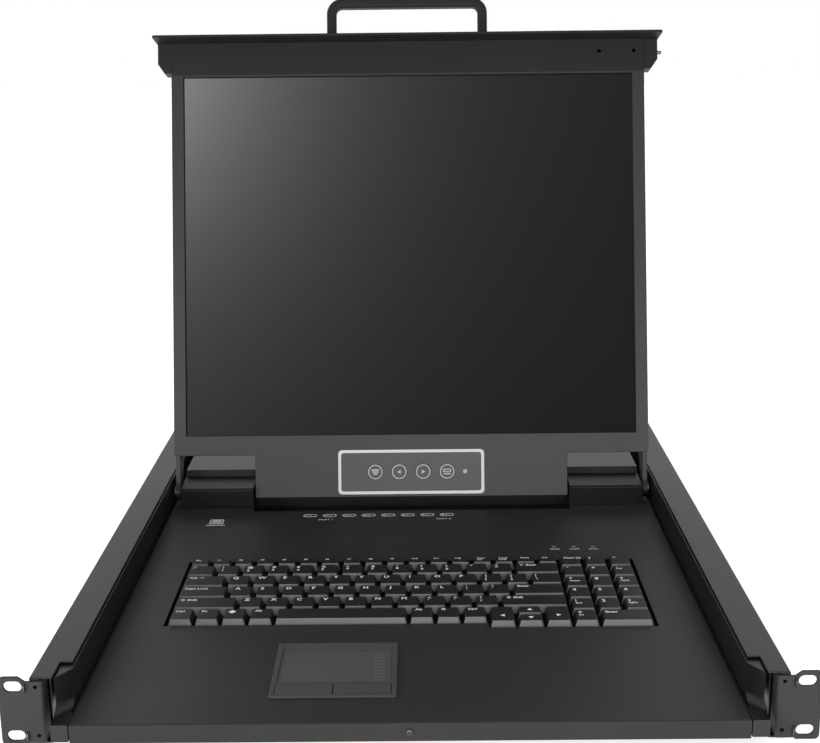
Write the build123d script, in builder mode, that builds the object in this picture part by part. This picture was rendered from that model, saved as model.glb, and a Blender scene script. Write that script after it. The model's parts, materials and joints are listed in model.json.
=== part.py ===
"""Rack drawer console: a telescopic 1U drawer with keyboard, touchpad, fold-up display and port switch."""
from build123d import *
import os
from math import cos, radians, sin

os.makedirs("parts", exist_ok=True)

# All sizes in millimetres. X across the rack, Y to the rear, Z up.
# The origin is the middle of the four front mounting slots, on the front face of the ears.

# Rack ears
ear_span = 482.6
ear_height = 44.0
ear_opening = 430.0
ear_sheet = 2.0
ear_tab_width = 14.0
ear_corner = 3.0
ear_step = 2.0
ear_top_clear = 0.8
ear_return = 12.0
slot_inset = 8.75
slot_pitch = 31.75
slot_length = 10.6
slot_width = 6.8
ear_screw_heights = (6.0, 37.5)

# Side rails
rail_span = 446.0
rail_height = 43.0
rail_sheet = 1.2
rail_flange = 21.0
rail_foot = 11.0
rail_rear = 600.0
notch_width = 7.5
notch_depth = 22.0

# Rear brackets and ties
bracket_sheet = 2.0
bracket_height = 26.0
bracket_front = 330.0
bracket_rear = 640.0
bracket_screw_inset = (150.0, 40.0)
bracket_slot_length = 90.0
bracket_slot_shift = 30.0
bracket_slot_clear = 0.4
tie_sheet = 1.2
tie_depth = 40.0
tie_lip = 3.4
tie_lip_gap = 2.0
front_tie_y = 60.0
rear_tie_y = 530.0

# Telescopic slides
slide_space = 12.7
slide_thickness = 7.6
slide_height = 35.0
slide_sheet = 1.0
slide_gap = 1.2
slide_front = 20.0
slide_length = 540.0
slide_mid_length = 480.0
slide_pad_length = 40.0
slide_pad_height = 16.0
ball_diameter = 2.4
ball_play = 0.2
ball_count = 3
ball_pitch = 44.0
ball_sides = 8
ball_taper = 28.0
cage_sheet = 0.6
cage_length = 110.0
cage_margin = 0.5

# Drawer
lip_front = -11.3
lip_height = 12.0
drawer_sheet = 1.2
deck_top = 19.0
deck_rise = 1.2
crease_front = 283.0
crease_depth = 10.0
deck_side_gap = 2.4
block_side_gap = 0.5
side_wall_width = 8.3
side_wall_clear = 0.8
side_wall_bottom = 8.0
side_wall_flare = 12.0
side_wall_front = 17.0
side_wall_corner = 8.0
side_wall_rear = 556.0
block_depth = 16.0
pan_flange = 8.0
chin_side_clear = 0.6
chin_recess = 21.0

# Keyboard
unit_width = 18.25
row_pitch = 19.05
key_gap = 0.85
key_top = 22.6
key_base = 16.4
key_travel = 2.5
key_side_taper = 1.5
key_front_taper = 0.9
key_rear_taper = 1.7
main_left = -165.2
main_width = 275.0
main_front = 122.4
function_depth = 12.6
function_count = 17
modifier_width = 18.1
tick_width = 22.0
tab_width = 32.0
caps_width = 36.0
shift_width = 45.0
arrow_columns = 3
arrow_space = 2.0
pad_shift = 6.2
pad_columns = 3
pad_rows = 6
well_margin = 1.6
guide_margin = 3.0
stem_size = 4.0
stem_clear = 0.3
press_clear = 0.3
guide_sheet = 1.2
backplate_sheet = 1.0
membrane_sheet = 0.5

# Touchpad
touch_left = -85.5
touch_width = 77.5
touch_front = 18.5
touch_depth = 72.5
touch_rise = 1.6
touch_rim = 3.4
touch_bevel = 8.0
touch_pad_sheet = 1.0
touch_button_depth = 15.5
touch_button_travel = 0.5
touch_shelf = 1.2
touch_hollow_side = 6.0
touch_hollow_front = 2.0
touch_hollow_rear = 4.0

# Status lights
lock_light_x = (110.0, 125.0, 140.0)
lock_light_y = 256.5
port_count = 8
port_light_left = -83.0
port_light_pitch = 16.0
port_light_y = 325.0
light_size = (3.0, 1.6)
light_depth = 2.4
light_lap = 0.6

# Hinges
hinge_y = 357.4
hinge_z = 30.5
hinge_block_inner = 131.5
hinge_block_outer = 192.5
hinge_block_front = 345.0
hinge_block_top = 36.7
hinge_block_sheet = 1.2
hinge_block_corner = 2.0
hinge_block_gap = 0.3
shaft_radius = 2.5
shaft_head_radius = 3.75
barrel_radius = 4.5
barrel_length = 30.0
barrel_inset = 18.0
barrel_neck = 6.3
barrel_foot_lap = 3.5
running_clear = 0.1
lug_radius = 7.5
arm_width = 4.0
arm_side_gap = 1.0

# Display
open_tilt = 15.35
display_width = 397.0
display_thickness = 18.0
closed_gap = 5.5
screen_width = 376.6
screen_height = 301.4
bezel_sheet = 2.0
shell_sheet = 1.2
top_strip = 1.8
side_cut = 16.5
chin_width = 261.0
chin_below_axis = 5.1
glass_sheet = 1.4
glass_lap = 2.0
module_lap = 4.0
module_depth = 8.4
stud_radius = 5.0
stud_inset = 40.0
plate_gap = 8.2
plate_sheet = 2.0
plate_width = 422.0
plate_drop = 20.0
bar_height = 27.0
bar_sheet = 1.5
bar_hole_x = (161.0, 190.0)
bar_hole_drop = 10.0
bar_hole_radius = 1.6
latch_block_width = 11.5
latch_block_depth = 15.5
latch_block_height = 25.0
latch_block_chamfer = (5.5, 8.0)
latch_pin_radius = 1.6
latch_pin_length = 10.5
latch_pin_out = 4.5
latch_travel = 3.5
latch_pin_drop = 10.0
handle_width = 134.0
handle_height = 33.0
handle_bar = 8.0
handle_depth = 10.0
handle_corner = 13.0
handle_edge = 2.4
handle_tenon_radius = 2.2

# Display control panel
panel_width = 122.0
panel_height = 37.0
panel_rise = 0.4
panel_centre = 15.4
button_radius = 6.4
button_pitch = 20.0
button_travel = 0.5
button_clear = 0.3
panel_light_x = 45.0
panel_light_radius = 1.8
board_sheet = 1.6
boss_radius = 2.6
button_flange = 1.2

# Electronics box
box_front = 378.0
box_rear = 574.0
box_width = 384.6
box_top = 42.5
box_sheet = 1.2
board_rise = 5.8
port_left = -150.0
port_pitch = 33.0
port_height = 24.0
port_shell = (16.4, 8.4)
port_body = (30.0, 14.0)
port_reach = 4.6
jack_spread = 12.5
jack_radius = 2.75
jack_length = 5.0
board_depth = 150.0
board_inset = 15.0
inlet_x = 168.0
inlet_size = (28.0, 20.0)
inlet_cavity = (23.0, 15.6)
inlet_depth = 14.0
inlet_wall_back = 4.0
inlet_flange = 1.6
pin_spread = 7.0
pin_offset = 2.0
blade_size = (2.0, 4.0)
rocker_size = (12.0, 15.0)
rocker_gap = 0.8
rocker_wall = 2.4
rocker_crest = 3.6
rocker_root = 3.75
rocker_side_taper = 1.0
rocker_tilt = -8.0
rocker_pivot = 1.4
supply_front = 420.0
supply_height = 28.0

# Fasteners
small_head_radius = 2.2
small_shank_radius = 1.2
medium_head_radius = 3.4
medium_shank_radius = 1.9
head_height_share = 0.55

# Levels and half widths that several pieces share
base_z = -ear_height / 2
ear_half = ear_span / 2
ear_inner = ear_opening / 2
slot_span = ear_span - 2 * slot_inset
rail_half = rail_span / 2
rail_inner = rail_half - rail_flange
rail_top = base_z + rail_height
rail_front = ear_sheet
wall_outer = rail_half - rail_sheet - slide_space
wall_inner = wall_outer - side_wall_width
deck_half = wall_inner - deck_side_gap
deck_z = base_z + deck_top
deck_rear_z = deck_z + deck_rise
crease_rear = crease_front + crease_depth
pan_bottom = deck_z - lip_height
pan_z = pan_bottom + drawer_sheet
slide_z = base_z + rail_height / 2
slide_web_x = wall_outer + slide_thickness
mid_web_x = slide_web_x - slide_sheet - slide_gap
slide_mid_height = slide_height - 2 * (slide_sheet + ball_diameter + ball_play)
slide_inner_height = slide_mid_height - 2 * (slide_sheet + ball_diameter + ball_play)
axis_z = base_z + hinge_z
face_w = axis_z - (deck_z + closed_gap)
back_w = face_w - display_thickness
plate_v = hinge_y - lip_front + plate_gap
bar_v = plate_v - bar_height
screen_top_v = bar_v - top_strip
screen_bottom_v = screen_top_v - screen_height
display_half = display_width / 2
side_cut_v = screen_bottom_v - side_cut
main_right = main_left + main_width
pad_right = main_right + pad_columns * unit_width
pad_front = main_front - pad_shift
arrow_left = main_right - arrow_columns * unit_width - arrow_space
well_rear = main_front + 5 * row_pitch + function_depth
box_half = box_width / 2
port_x = [port_left + i * port_pitch for i in range(port_count)]


def facing(y):
    """Upright plane at depth y: sketch x runs across, sketch y runs up, and it faces the front."""
    return Plane(origin=(0, y, 0), x_dir=(1, 0, 0), z_dir=(0, -1, 0))


def display_plane(w):
    """Plane of the open display, its origin on the hinge axis, w towards the user."""
    tilt = radians(open_tilt)
    normal = Vector(0, -cos(tilt), sin(tilt))
    origin = Vector(0, hinge_y, axis_z) + normal * w
    return Plane(origin=origin, x_dir=(1, 0, 0), z_dir=normal)


def block(x, y, z, mode=Mode.ADD):
    """Rectangular block between a pair of values on each axis."""
    with BuildSketch(Plane.XY.offset(z[0])) as outline:
        with Locations(((x[0] + x[1]) / 2, (y[0] + y[1]) / 2)):
            Rectangle(abs(x[1] - x[0]), abs(y[1] - y[0]))
    extrude(outline.sketch, amount=z[1] - z[0], mode=mode)


def display_block(x, v, w, mode=Mode.ADD):
    """Rectangular block in the display's own directions: across, up the screen, towards the user."""
    with BuildSketch(display_plane(w[0])) as outline:
        with Locations(((x[0] + x[1]) / 2, (v[0] + v[1]) / 2)):
            Rectangle(abs(x[1] - x[0]), abs(v[1] - v[0]))
    extrude(outline.sketch, amount=w[1] - w[0], mode=mode)


def outline_on(plane, points):
    """Closed straight-sided outline on a plane."""
    with BuildSketch(plane) as outline:
        with BuildLine():
            Polyline(*points, close=True)
        make_face()
    return outline.sketch


def save(part, name):
    """Label a finished piece and write its file."""
    part.label = name
    export_step(part, f"parts/{name}.step")


def save_pair(right, name):
    """Write a right-hand piece and its mirror image on the left."""
    with BuildPart() as left:
        mirror(right, about=Plane.YZ)
    save(right, f"{name}_right")
    save(left.part, f"{name}_left")


def save_both(right, name):
    """Write a right-hand piece and its mirror image together in one file."""
    with BuildPart() as both:
        add(right)
        mirror(right, about=Plane.YZ)
    save(both.part, name)


# Rack ears: a plate with a full-height tab, two slots and a return along its inner edge

screw_x = ear_inner + ear_sheet + small_head_radius
screw_heights = [base_z + height for height in ear_screw_heights]
tab_inner = ear_half - ear_tab_width
ear_top = rail_top - rail_sheet - ear_top_clear
return_bottom = base_z + rail_sheet + ear_top_clear

with BuildPart() as ear:
    with BuildSketch(facing(0)) as ear_outline:
        with BuildLine():
            Polyline(
                (ear_inner, base_z + ear_step / 2),
                (tab_inner - ear_step / 2, base_z + ear_step / 2),
                (tab_inner, base_z),
                (ear_half, base_z),
                (ear_half, -base_z),
                (tab_inner + ear_step, -base_z),
                (tab_inner - ear_step, ear_top),
                (ear_inner, ear_top),
                close=True,
            )
        make_face()
        fillet(ear_outline.vertices().group_by(Axis.X)[-1], radius=ear_corner)
        with Locations((slot_span / 2, slot_pitch / 2), (slot_span / 2, -slot_pitch / 2)):
            SlotOverall(slot_length, slot_width, mode=Mode.SUBTRACT)
    extrude(amount=-ear_sheet)
    block((ear_inner, ear_inner + ear_sheet), (0, ear_return), (return_bottom, ear_top))
    with BuildSketch(facing(0)):
        with Locations(*[(screw_x, z) for z in screw_heights]):
            Circle(small_shank_radius)
    extrude(amount=-ear_sheet, mode=Mode.SUBTRACT)
    fold = ear.edges().filter_by(Axis.Z).filter_by_position(Axis.X, ear_inner - 0.01, ear_inner + 0.01)
    fillet(fold.sort_by(Axis.Y)[0], radius=ear_sheet * 0.9)
save_pair(ear.part, "ear")

# Side rails: a web with a wide top flange, a narrow foot, a folded front flange behind the ear,
# and pads pressed inwards to carry the slide

bracket_z = base_z + rail_height / 2
bracket_screw_y = [rail_rear - inset for inset in bracket_screw_inset]
pad_y = [slide_front + slide_length / 2 + i * (slide_length / 2 - slide_pad_length) for i in (-1, 0, 1)]

with BuildPart() as rail:
    section = (
        (rail_inner, rail_top),
        (rail_half, rail_top),
        (rail_half, base_z),
        (rail_half - rail_foot, base_z),
        (rail_half - rail_foot, base_z + rail_sheet),
        (rail_half - rail_sheet, base_z + rail_sheet),
        (rail_half - rail_sheet, rail_top - rail_sheet),
        (rail_inner, rail_top - rail_sheet),
    )
    extrude(outline_on(facing(rail_front), section), amount=-(rail_rear - rail_front))
    fillet(rail.edges().filter_by(Axis.Y).sort_by(Axis.X).group_by(Axis.X)[-1], radius=rail_sheet)
    block(
        (rail_inner, rail_inner + notch_width),
        (rail_front, notch_depth),
        (rail_top - rail_sheet, rail_top),
        mode=Mode.SUBTRACT,
    )
    block(
        (ear_inner + ear_sheet, rail_half - rail_sheet),
        (rail_front, rail_front + rail_sheet),
        (base_z + rail_sheet, rail_top - rail_sheet),
    )
    with BuildSketch(facing(rail_front)):
        with Locations(*[(screw_x, z) for z in screw_heights]):
            Circle(small_shank_radius)
    extrude(amount=-rail_sheet, mode=Mode.SUBTRACT)
    with BuildSketch(Plane.YZ.offset(rail_half)):
        with Locations(*[(y, bracket_z) for y in bracket_screw_y]):
            Circle(medium_shank_radius + running_clear)
    extrude(amount=-rail_sheet, mode=Mode.SUBTRACT)
    with BuildSketch(Plane.YZ.offset(slide_web_x)) as pads:
        with Locations(*[(y, slide_z) for y in pad_y]):
            Rectangle(slide_pad_length, slide_pad_height)
    extrude(pads.sketch, amount=rail_half - rail_sheet - slide_web_x)
save_pair(rail.part, "side_rail")

# Slides: three nested channels on each side, carried on balls held in cages

def channel(web_x, height, reach, front, length):
    """Channel section with its web at web_x and its lips reaching towards the other side of the slide."""
    half = height / 2
    sheet = slide_sheet if reach > 0 else -slide_sheet
    points = (
        (web_x, slide_z + half),
        (web_x + reach, slide_z + half),
        (web_x + reach, slide_z + half - slide_sheet),
        (web_x + sheet, slide_z + half - slide_sheet),
        (web_x + sheet, slide_z - half + slide_sheet),
        (web_x + reach, slide_z - half + slide_sheet),
        (web_x + reach, slide_z - half),
        (web_x, slide_z - half),
    )
    extrude(outline_on(facing(front), points), amount=-length)


lip_reach = slide_thickness - slide_sheet - slide_gap
mid_front = slide_front + (slide_length - slide_mid_length) / 2
inner_lip_x = mid_web_x - slide_sheet - slide_gap

with BuildPart() as slide_outer:
    channel(slide_web_x, slide_height, -lip_reach, slide_front, slide_length)
save_both(slide_outer.part, "slide_outers")

with BuildPart() as slide_middle:
    channel(mid_web_x, slide_mid_height, -(lip_reach - slide_sheet), mid_front, slide_mid_length)
save_both(slide_middle.part, "slide_middles")

with BuildPart() as slide_inner:
    channel(wall_outer, slide_inner_height, inner_lip_x - wall_outer, slide_front, slide_length)
save_both(slide_inner.part, "slide_inners")


def ball_cage(row_z, row_x, strap_x, centre_y):
    """Two rows of faceted balls between the lips of two channels, in a cage strapped between the webs."""
    rows = (slide_z + row_z, slide_z - row_z)
    length = (centre_y - cage_length / 2, centre_y + cage_length / 2)
    radius = ball_diameter / 2
    spots = [(row_x, centre_y + (i - (ball_count - 1) / 2) * ball_pitch) for i in range(ball_count)]
    block((strap_x - cage_sheet / 2, strap_x + cage_sheet / 2), length, (rows[1], rows[0]))
    for z in rows:
        block((row_x - radius - cage_margin, strap_x), length, (z - cage_sheet / 2, z + cage_sheet / 2))
        with BuildSketch(Plane.XY.offset(z - cage_sheet / 2)) as pockets:
            with Locations(*spots):
                RegularPolygon(radius + running_clear, ball_sides)
        extrude(pockets.sketch, amount=cage_sheet, mode=Mode.SUBTRACT)
        with BuildSketch(Plane.XY.offset(z)) as balls:
            with Locations(*spots):
                RegularPolygon(radius, ball_sides)
        extrude(balls.sketch, amount=radius, both=True, taper=ball_taper)


outer_row = (slide_height - 2 * slide_sheet + slide_mid_height) / 4
inner_row = (slide_mid_height - 2 * slide_sheet + slide_inner_height) / 4

cage_y = slide_front + slide_length / 2

with BuildPart() as cage_outer:
    outer_row_x = mid_web_x - (ball_diameter + cage_sheet) / 2
    ball_cage(outer_row, outer_row_x, mid_web_x + slide_gap / 2, cage_y - cage_length / 2)
save_both(cage_outer.part, "ball_cages_outer")

with BuildPart() as cage_inner:
    inner_row_x = inner_lip_x - ball_diameter / 2
    ball_cage(inner_row, inner_row_x, inner_lip_x + slide_gap / 2, cage_y + cage_length / 2)
save_both(cage_inner.part, "ball_cages_inner")

# Chassis ties: shallow folded strips that join the feet of the two rails

def cross_tie(front):
    """Folded strip lying on the rail feet, with a stiffening lip along each edge."""
    floor = base_z + rail_sheet
    half = rail_half - rail_sheet
    block((-half, half), (front, front + tie_depth), (floor, floor + tie_sheet))
    lip_half = rail_half - rail_foot - tie_lip_gap
    for y in (front, front + tie_depth - tie_sheet):
        block((-lip_half, lip_half), (y, y + tie_sheet), (floor, floor + tie_lip))


with BuildPart() as cross_ties:
    for front in (front_tie_y, rear_tie_y):
        cross_tie(front)
save(cross_ties.part, "cross_ties")

# Rear brackets: slotted bars along the outside of the rails, ending in rear rack tabs

with BuildPart() as rear_bracket:
    block(
        (rail_half, rail_half + bracket_sheet),
        (bracket_front, bracket_rear),
        (bracket_z - bracket_height / 2, bracket_z + bracket_height / 2),
    )
    with BuildSketch(Plane.YZ.offset(rail_half)):
        for y in bracket_screw_y:
            with Locations((y - bracket_slot_shift, bracket_z)):
                SlotOverall(bracket_slot_length, 2 * medium_shank_radius + bracket_slot_clear)
    extrude(amount=bracket_sheet, mode=Mode.SUBTRACT)
    with BuildSketch(facing(bracket_rear)):
        with Locations(((rail_half + ear_half) / 2, 0)):
            RectangleRounded(ear_half - rail_half, ear_height, ear_corner)
        with Locations((slot_span / 2, slot_pitch / 2), (slot_span / 2, -slot_pitch / 2)):
            SlotOverall(slot_length, slot_width, mode=Mode.SUBTRACT)
    extrude(amount=ear_sheet)
save_both(rear_bracket.part, "rear_brackets")

# Chassis screws: small screws through the ears into the rails, larger ones through the bracket slots

def pan_screw(plane, spots, head, shank, length):
    """Pan-head screws whose heads stand on the plane and whose shanks run back through it."""
    with BuildSketch(plane) as heads:
        with Locations(*spots):
            Circle(head)
    extrude(heads.sketch, amount=head * head_height_share)
    with BuildSketch(plane) as shanks:
        with Locations(*spots):
            Circle(shank)
    extrude(shanks.sketch, amount=-length)


with BuildPart() as chassis_screws:
    ear_spots = [(side * screw_x, z) for side in (-1, 1) for z in screw_heights]
    pan_screw(facing(0), ear_spots, small_head_radius, small_shank_radius - running_clear,
              ear_sheet + rail_sheet)
    bracket_spots = [(y, bracket_z) for y in bracket_screw_y]
    pan_screw(Plane.YZ.offset(rail_half + bracket_sheet), bracket_spots, medium_head_radius,
              medium_shank_radius, bracket_sheet + rail_sheet)
    left_side = Plane(origin=(-rail_half - bracket_sheet, 0, 0), x_dir=(0, 1, 0), z_dir=(-1, 0, 0))
    pan_screw(left_side, [(y, -z) for y, z in bracket_spots], medium_head_radius,
              medium_shank_radius, bracket_sheet + rail_sheet)
save(chassis_screws.part, "chassis_screws")

# Drawer side walls: tall hollow members carrying the inner slides, with a low block at the front

with BuildPart() as side_wall:
    wall_bottom = base_z + side_wall_bottom
    wall_top = rail_top - rail_sheet - side_wall_clear
    extrude(
        outline_on(
            Plane.YZ.offset(wall_inner),
            (
                (lip_front, wall_bottom),
                (side_wall_rear, wall_bottom),
                (side_wall_rear, wall_top),
                (lip_front, wall_top),
            ),
        ),
        amount=side_wall_width,
    )
    with BuildSketch(Plane.YZ.offset(wall_inner)) as notch:
        with BuildLine():
            notch_front = lip_front - side_wall_flare
            Polyline(
                (side_wall_front, deck_z),
                (side_wall_front, rail_top),
                (notch_front, rail_top),
                (notch_front, deck_z),
                close=True,
            )
        make_face()
        fillet(notch.vertices().group_by(Axis.X)[-1].sort_by(Axis.Y)[0], radius=side_wall_corner)
    extrude(
        notch.sketch,
        amount=(side_wall_width**2 + side_wall_flare**2) ** 0.5,
        dir=(side_wall_width, -side_wall_flare, 0),
        mode=Mode.SUBTRACT,
    )
    block(
        (deck_half + block_side_gap, wall_inner),
        (lip_front, lip_front + block_depth),
        (wall_bottom, deck_z),
    )
    block(
        (wall_inner + drawer_sheet, wall_outer - drawer_sheet),
        (side_wall_front + side_wall_corner, side_wall_rear),
        (wall_bottom, wall_top - drawer_sheet),
        mode=Mode.SUBTRACT,
    )
save_pair(side_wall.part, "drawer_side")

# Drawer pan: floor of the drawer and of the electronics box, with low side flanges

pan_front = lip_front + drawer_sheet
block_rear = lip_front + block_depth

with BuildPart() as pan:
    block((-wall_inner, wall_inner), (block_rear, box_rear), (pan_bottom, pan_z))
    block((-deck_half, deck_half), (pan_front, block_rear), (pan_bottom, pan_z))
    for side in (-1, 1):
        flange = (side * (wall_inner - drawer_sheet), side * wall_inner)
        block(flange, (block_rear, side_wall_rear), (pan_z, pan_z + pan_flange))
    with BuildSketch(Plane.XY.offset(pan_z)) as supports:
        with Locations(((port_x[0] + port_x[-1]) / 2, box_rear - board_depth / 2)):
            with GridLocations(4 * port_pitch, board_depth - 2 * board_inset, 3, 2):
                Circle(boss_radius)
    extrude(supports.sketch, amount=board_rise)
save(pan.part, "drawer_pan")

# Keyboard deck: folded cover over the drawer pan with a front lip, a crease and cut-outs

well_left = main_left - well_margin
well_right = pad_right + well_margin
well_back = well_rear + well_margin
touch_cut = (touch_left + touch_rim / 2, touch_left + touch_width - touch_rim / 2)
touch_cut_y = (touch_front + touch_rim / 2, touch_front + touch_depth - touch_rim / 2)
chin_half = chin_width / 2
recess_half = chin_half + chin_side_clear
recess_front = hinge_y - chin_recess
lock_light_spots = [(x, lock_light_y) for x in lock_light_x]
port_light_spots = [(port_light_left + i * port_light_pitch, port_light_y) for i in range(port_count)]

with BuildPart() as deck:
    outer = (
        (lip_front, pan_bottom),
        (lip_front, deck_z),
        (crease_front, deck_z),
        (crease_rear, deck_rear_z),
        (box_front, deck_rear_z),
        (box_front, pan_z),
        (pan_front, pan_z),
        (pan_front, pan_bottom),
    )
    inner = (
        (pan_front, pan_bottom),
        (pan_front, deck_z - drawer_sheet),
        (crease_front, deck_z - drawer_sheet),
        (crease_rear, deck_rear_z - drawer_sheet),
        (box_front, deck_rear_z - drawer_sheet),
        (box_front, pan_bottom),
    )
    side_plane = Plane.YZ.offset(-deck_half)
    extrude(outline_on(side_plane, outer), amount=2 * deck_half)
    fillet(deck.edges().filter_by(Axis.X).sort_by_distance((0, lip_front, deck_z))[0], drawer_sheet)
    extrude(
        outline_on(Plane.YZ.offset(-deck_half + drawer_sheet), inner),
        amount=2 * (deck_half - drawer_sheet),
        mode=Mode.SUBTRACT,
    )
    with BuildSketch(Plane.XY.offset(deck_z - 2 * drawer_sheet)) as openings:
        with BuildLine():
            Polyline(
                (well_left, main_front - well_margin),
                (arrow_left, main_front - well_margin),
                (arrow_left, pad_front - well_margin),
                (well_right, pad_front - well_margin),
                (well_right, well_back),
                (well_left, well_back),
                close=True,
            )
        make_face()
        with Locations((sum(touch_cut) / 2, sum(touch_cut_y) / 2)):
            Rectangle(touch_cut[1] - touch_cut[0], touch_cut_y[1] - touch_cut_y[0])
        with Locations((0, (recess_front + box_front) / 2)):
            Rectangle(2 * recess_half, box_front - recess_front)
        with Locations(*lock_light_spots, *port_light_spots):
            Rectangle(*light_size)
    extrude(openings.sketch, amount=4 * drawer_sheet, mode=Mode.SUBTRACT)
    with BuildSketch(facing(lip_front)):
        with Locations((0, deck_z - lip_height / 2)):
            Circle(small_shank_radius)
    extrude(amount=-drawer_sheet, mode=Mode.SUBTRACT)
save(deck.part, "keyboard_deck")

with BuildPart() as lock_screw:
    pan_screw(facing(lip_front), [(0, deck_z - lip_height / 2)], small_head_radius,
              small_shank_radius - running_clear, drawer_sheet)
save(lock_screw.part, "front_lock_screw")

# Status lights: clear windows flush with the deck, each with a flange that hangs from its underside

def windows(spots, top):
    """Rectangular light windows, stepped so that a wider foot bears against the underside of the deck."""
    for x, y in spots:
        half_x, half_y = light_size[0] / 2, light_size[1] / 2
        block((x - half_x, x + half_x), (y - half_y, y + half_y), (top - drawer_sheet, top))
        foot_x, foot_y = half_x + light_lap, half_y + light_lap
        block((x - foot_x, x + foot_x), (y - foot_y, y + foot_y), (top - light_depth, top - drawer_sheet))


with BuildPart() as status_lights:
    windows(lock_light_spots, deck_z)
    windows(port_light_spots, deck_rear_z)
save(status_lights.part, "status_lights")

# Keyboard: steel back plate, membrane, key guide and the key groups

guide_z = base_z + key_base - key_travel - press_clear
backplate_z = pan_z + backplate_sheet
membrane_z = backplate_z + membrane_sheet
key_z = base_z + key_base
key_top_z = base_z + key_top
keyboard_x = (well_left - guide_margin, well_right + guide_margin)
keyboard_y = (pad_front - well_margin - guide_margin, well_back + guide_margin)


def row_cells(y, depth, widths):
    """Key cells side by side from the left end of the main block: (x0, x1, y0, y1)."""
    cells = []
    x = main_left
    for width in widths:
        cells.append((x, x + width, y, y + depth))
        x += width
    return cells


def filled(lead, count):
    """Widths of a row: a wide first key, unit keys, and a last key that fills the row."""
    return [lead] + [unit_width] * count + [main_width - lead - count * unit_width]


def main_y(row):
    """Front of a row of the main block, counted from the space bar row."""
    return main_front + row * row_pitch


space_left = main_left + 4 * modifier_width
space_right = arrow_left - 3 * modifier_width
function_width = main_width / function_count
arrow_depth = (main_y(1) - pad_front) / 2
arrow_x = [arrow_left + i * (main_right - arrow_left) / arrow_columns for i in range(arrow_columns + 1)]

key_cells = {
    "function_keys": row_cells(main_y(5), function_depth, [function_width] * function_count),
    "number_keys": row_cells(main_y(4), row_pitch, filled(tick_width, 12)),
    "letter_keys": row_cells(main_y(3), row_pitch, filled(tab_width, 12))
    + row_cells(main_y(2), row_pitch, filled(caps_width, 11))
    + row_cells(main_y(1), row_pitch, filled(shift_width, 10)),
    "bottom_keys": row_cells(main_front, row_pitch, [modifier_width] * 4)
    + [(space_right + i * modifier_width, space_right + (i + 1) * modifier_width, main_front, main_y(1))
       for i in range(3)],
    "space_bar": [(space_left, space_right, main_front, main_y(1))],
    "arrow_keys": [
        (arrow_x[0], arrow_x[1], pad_front, main_y(1)),
        (arrow_x[1], arrow_x[2], pad_front, pad_front + arrow_depth),
        (arrow_x[1], arrow_x[2], pad_front + arrow_depth, main_y(1)),
        (arrow_x[2], arrow_x[3], pad_front, main_y(1)),
    ],
    "number_pad_keys": [
        (main_right, main_right + unit_width, pad_front, pad_front + row_pitch),
        (main_right + unit_width, pad_right, pad_front, pad_front + row_pitch),
    ] + [
        (main_right + i * unit_width, main_right + (i + 1) * unit_width,
         pad_front + row * row_pitch, pad_front + (row + 1) * row_pitch)
        for row in range(1, pad_rows)
        for i in range(pad_columns)
    ],
}


def key_cap(cell):
    """Tapered key cap on its stem."""
    x0, x1, y0, y1 = cell
    x, y = (x0 + x1) / 2, (y0 + y1) / 2
    width, depth = x1 - x0 - key_gap, y1 - y0 - key_gap
    with Locations(Location((x, y, (key_z + key_top_z) / 2), (90, 0, 0))):
        Wedge(width, key_top_z - key_z, depth, key_side_taper, key_rear_taper,
              width - key_side_taper, depth - key_front_taper)
    half = stem_size / 2
    block((x - half, x + half), (y - half, y + half), (guide_z - guide_sheet / 2, key_z))


for name, cells in key_cells.items():
    with BuildPart() as keys:
        for cell in cells:
            key_cap(cell)
    save(keys.part, name)

with BuildPart() as backplate:
    block(keyboard_x, keyboard_y, (pan_z, backplate_z))
save(backplate.part, "keyboard_backplate")

with BuildPart() as membrane:
    rim = 2 * guide_sheet
    block((keyboard_x[0] + rim, keyboard_x[1] - rim), (keyboard_y[0] + rim, keyboard_y[1] - rim),
          (backplate_z, membrane_z))
save(membrane.part, "keyboard_membrane")

with BuildPart() as guide:
    block(keyboard_x, keyboard_y, (backplate_z, guide_z))
    block((keyboard_x[0] + guide_sheet, keyboard_x[1] - guide_sheet),
          (keyboard_y[0] + guide_sheet, keyboard_y[1] - guide_sheet),
          (backplate_z, guide_z - guide_sheet), mode=Mode.SUBTRACT)
    with BuildSketch(Plane.XY.offset(guide_z - guide_sheet)) as stem_holes:
        centres = [((x0 + x1) / 2, (y0 + y1) / 2) for cells in key_cells.values() for x0, x1, y0, y1 in cells]
        with Locations(*centres):
            Rectangle(stem_size + 2 * stem_clear, stem_size + 2 * stem_clear)
    extrude(stem_holes.sketch, amount=guide_sheet, mode=Mode.SUBTRACT)
save(guide.part, "key_guide")

# Touchpad: a flanged frame set into the deck, the pad, its board and two click buttons

touch_right = touch_left + touch_width
touch_back = touch_front + touch_depth
touch_top = deck_z + touch_rise
touch_bottom = deck_z - 3 * drawer_sheet
pad_x = (touch_left + touch_rim, touch_right - touch_rim)
pad_y = (touch_front + touch_button_depth + 2 * touch_shelf, touch_back - touch_rim - touch_bevel)
button_x = (touch_left + touch_rim / 2 + touch_shelf, touch_right - touch_rim / 2 - touch_shelf)
button_y = (touch_front + touch_rim / 2 + touch_shelf, touch_front + touch_button_depth + touch_shelf / 2)
button_split = sum(button_x) / 2
touch_pad_top = touch_top - touch_shelf

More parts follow.
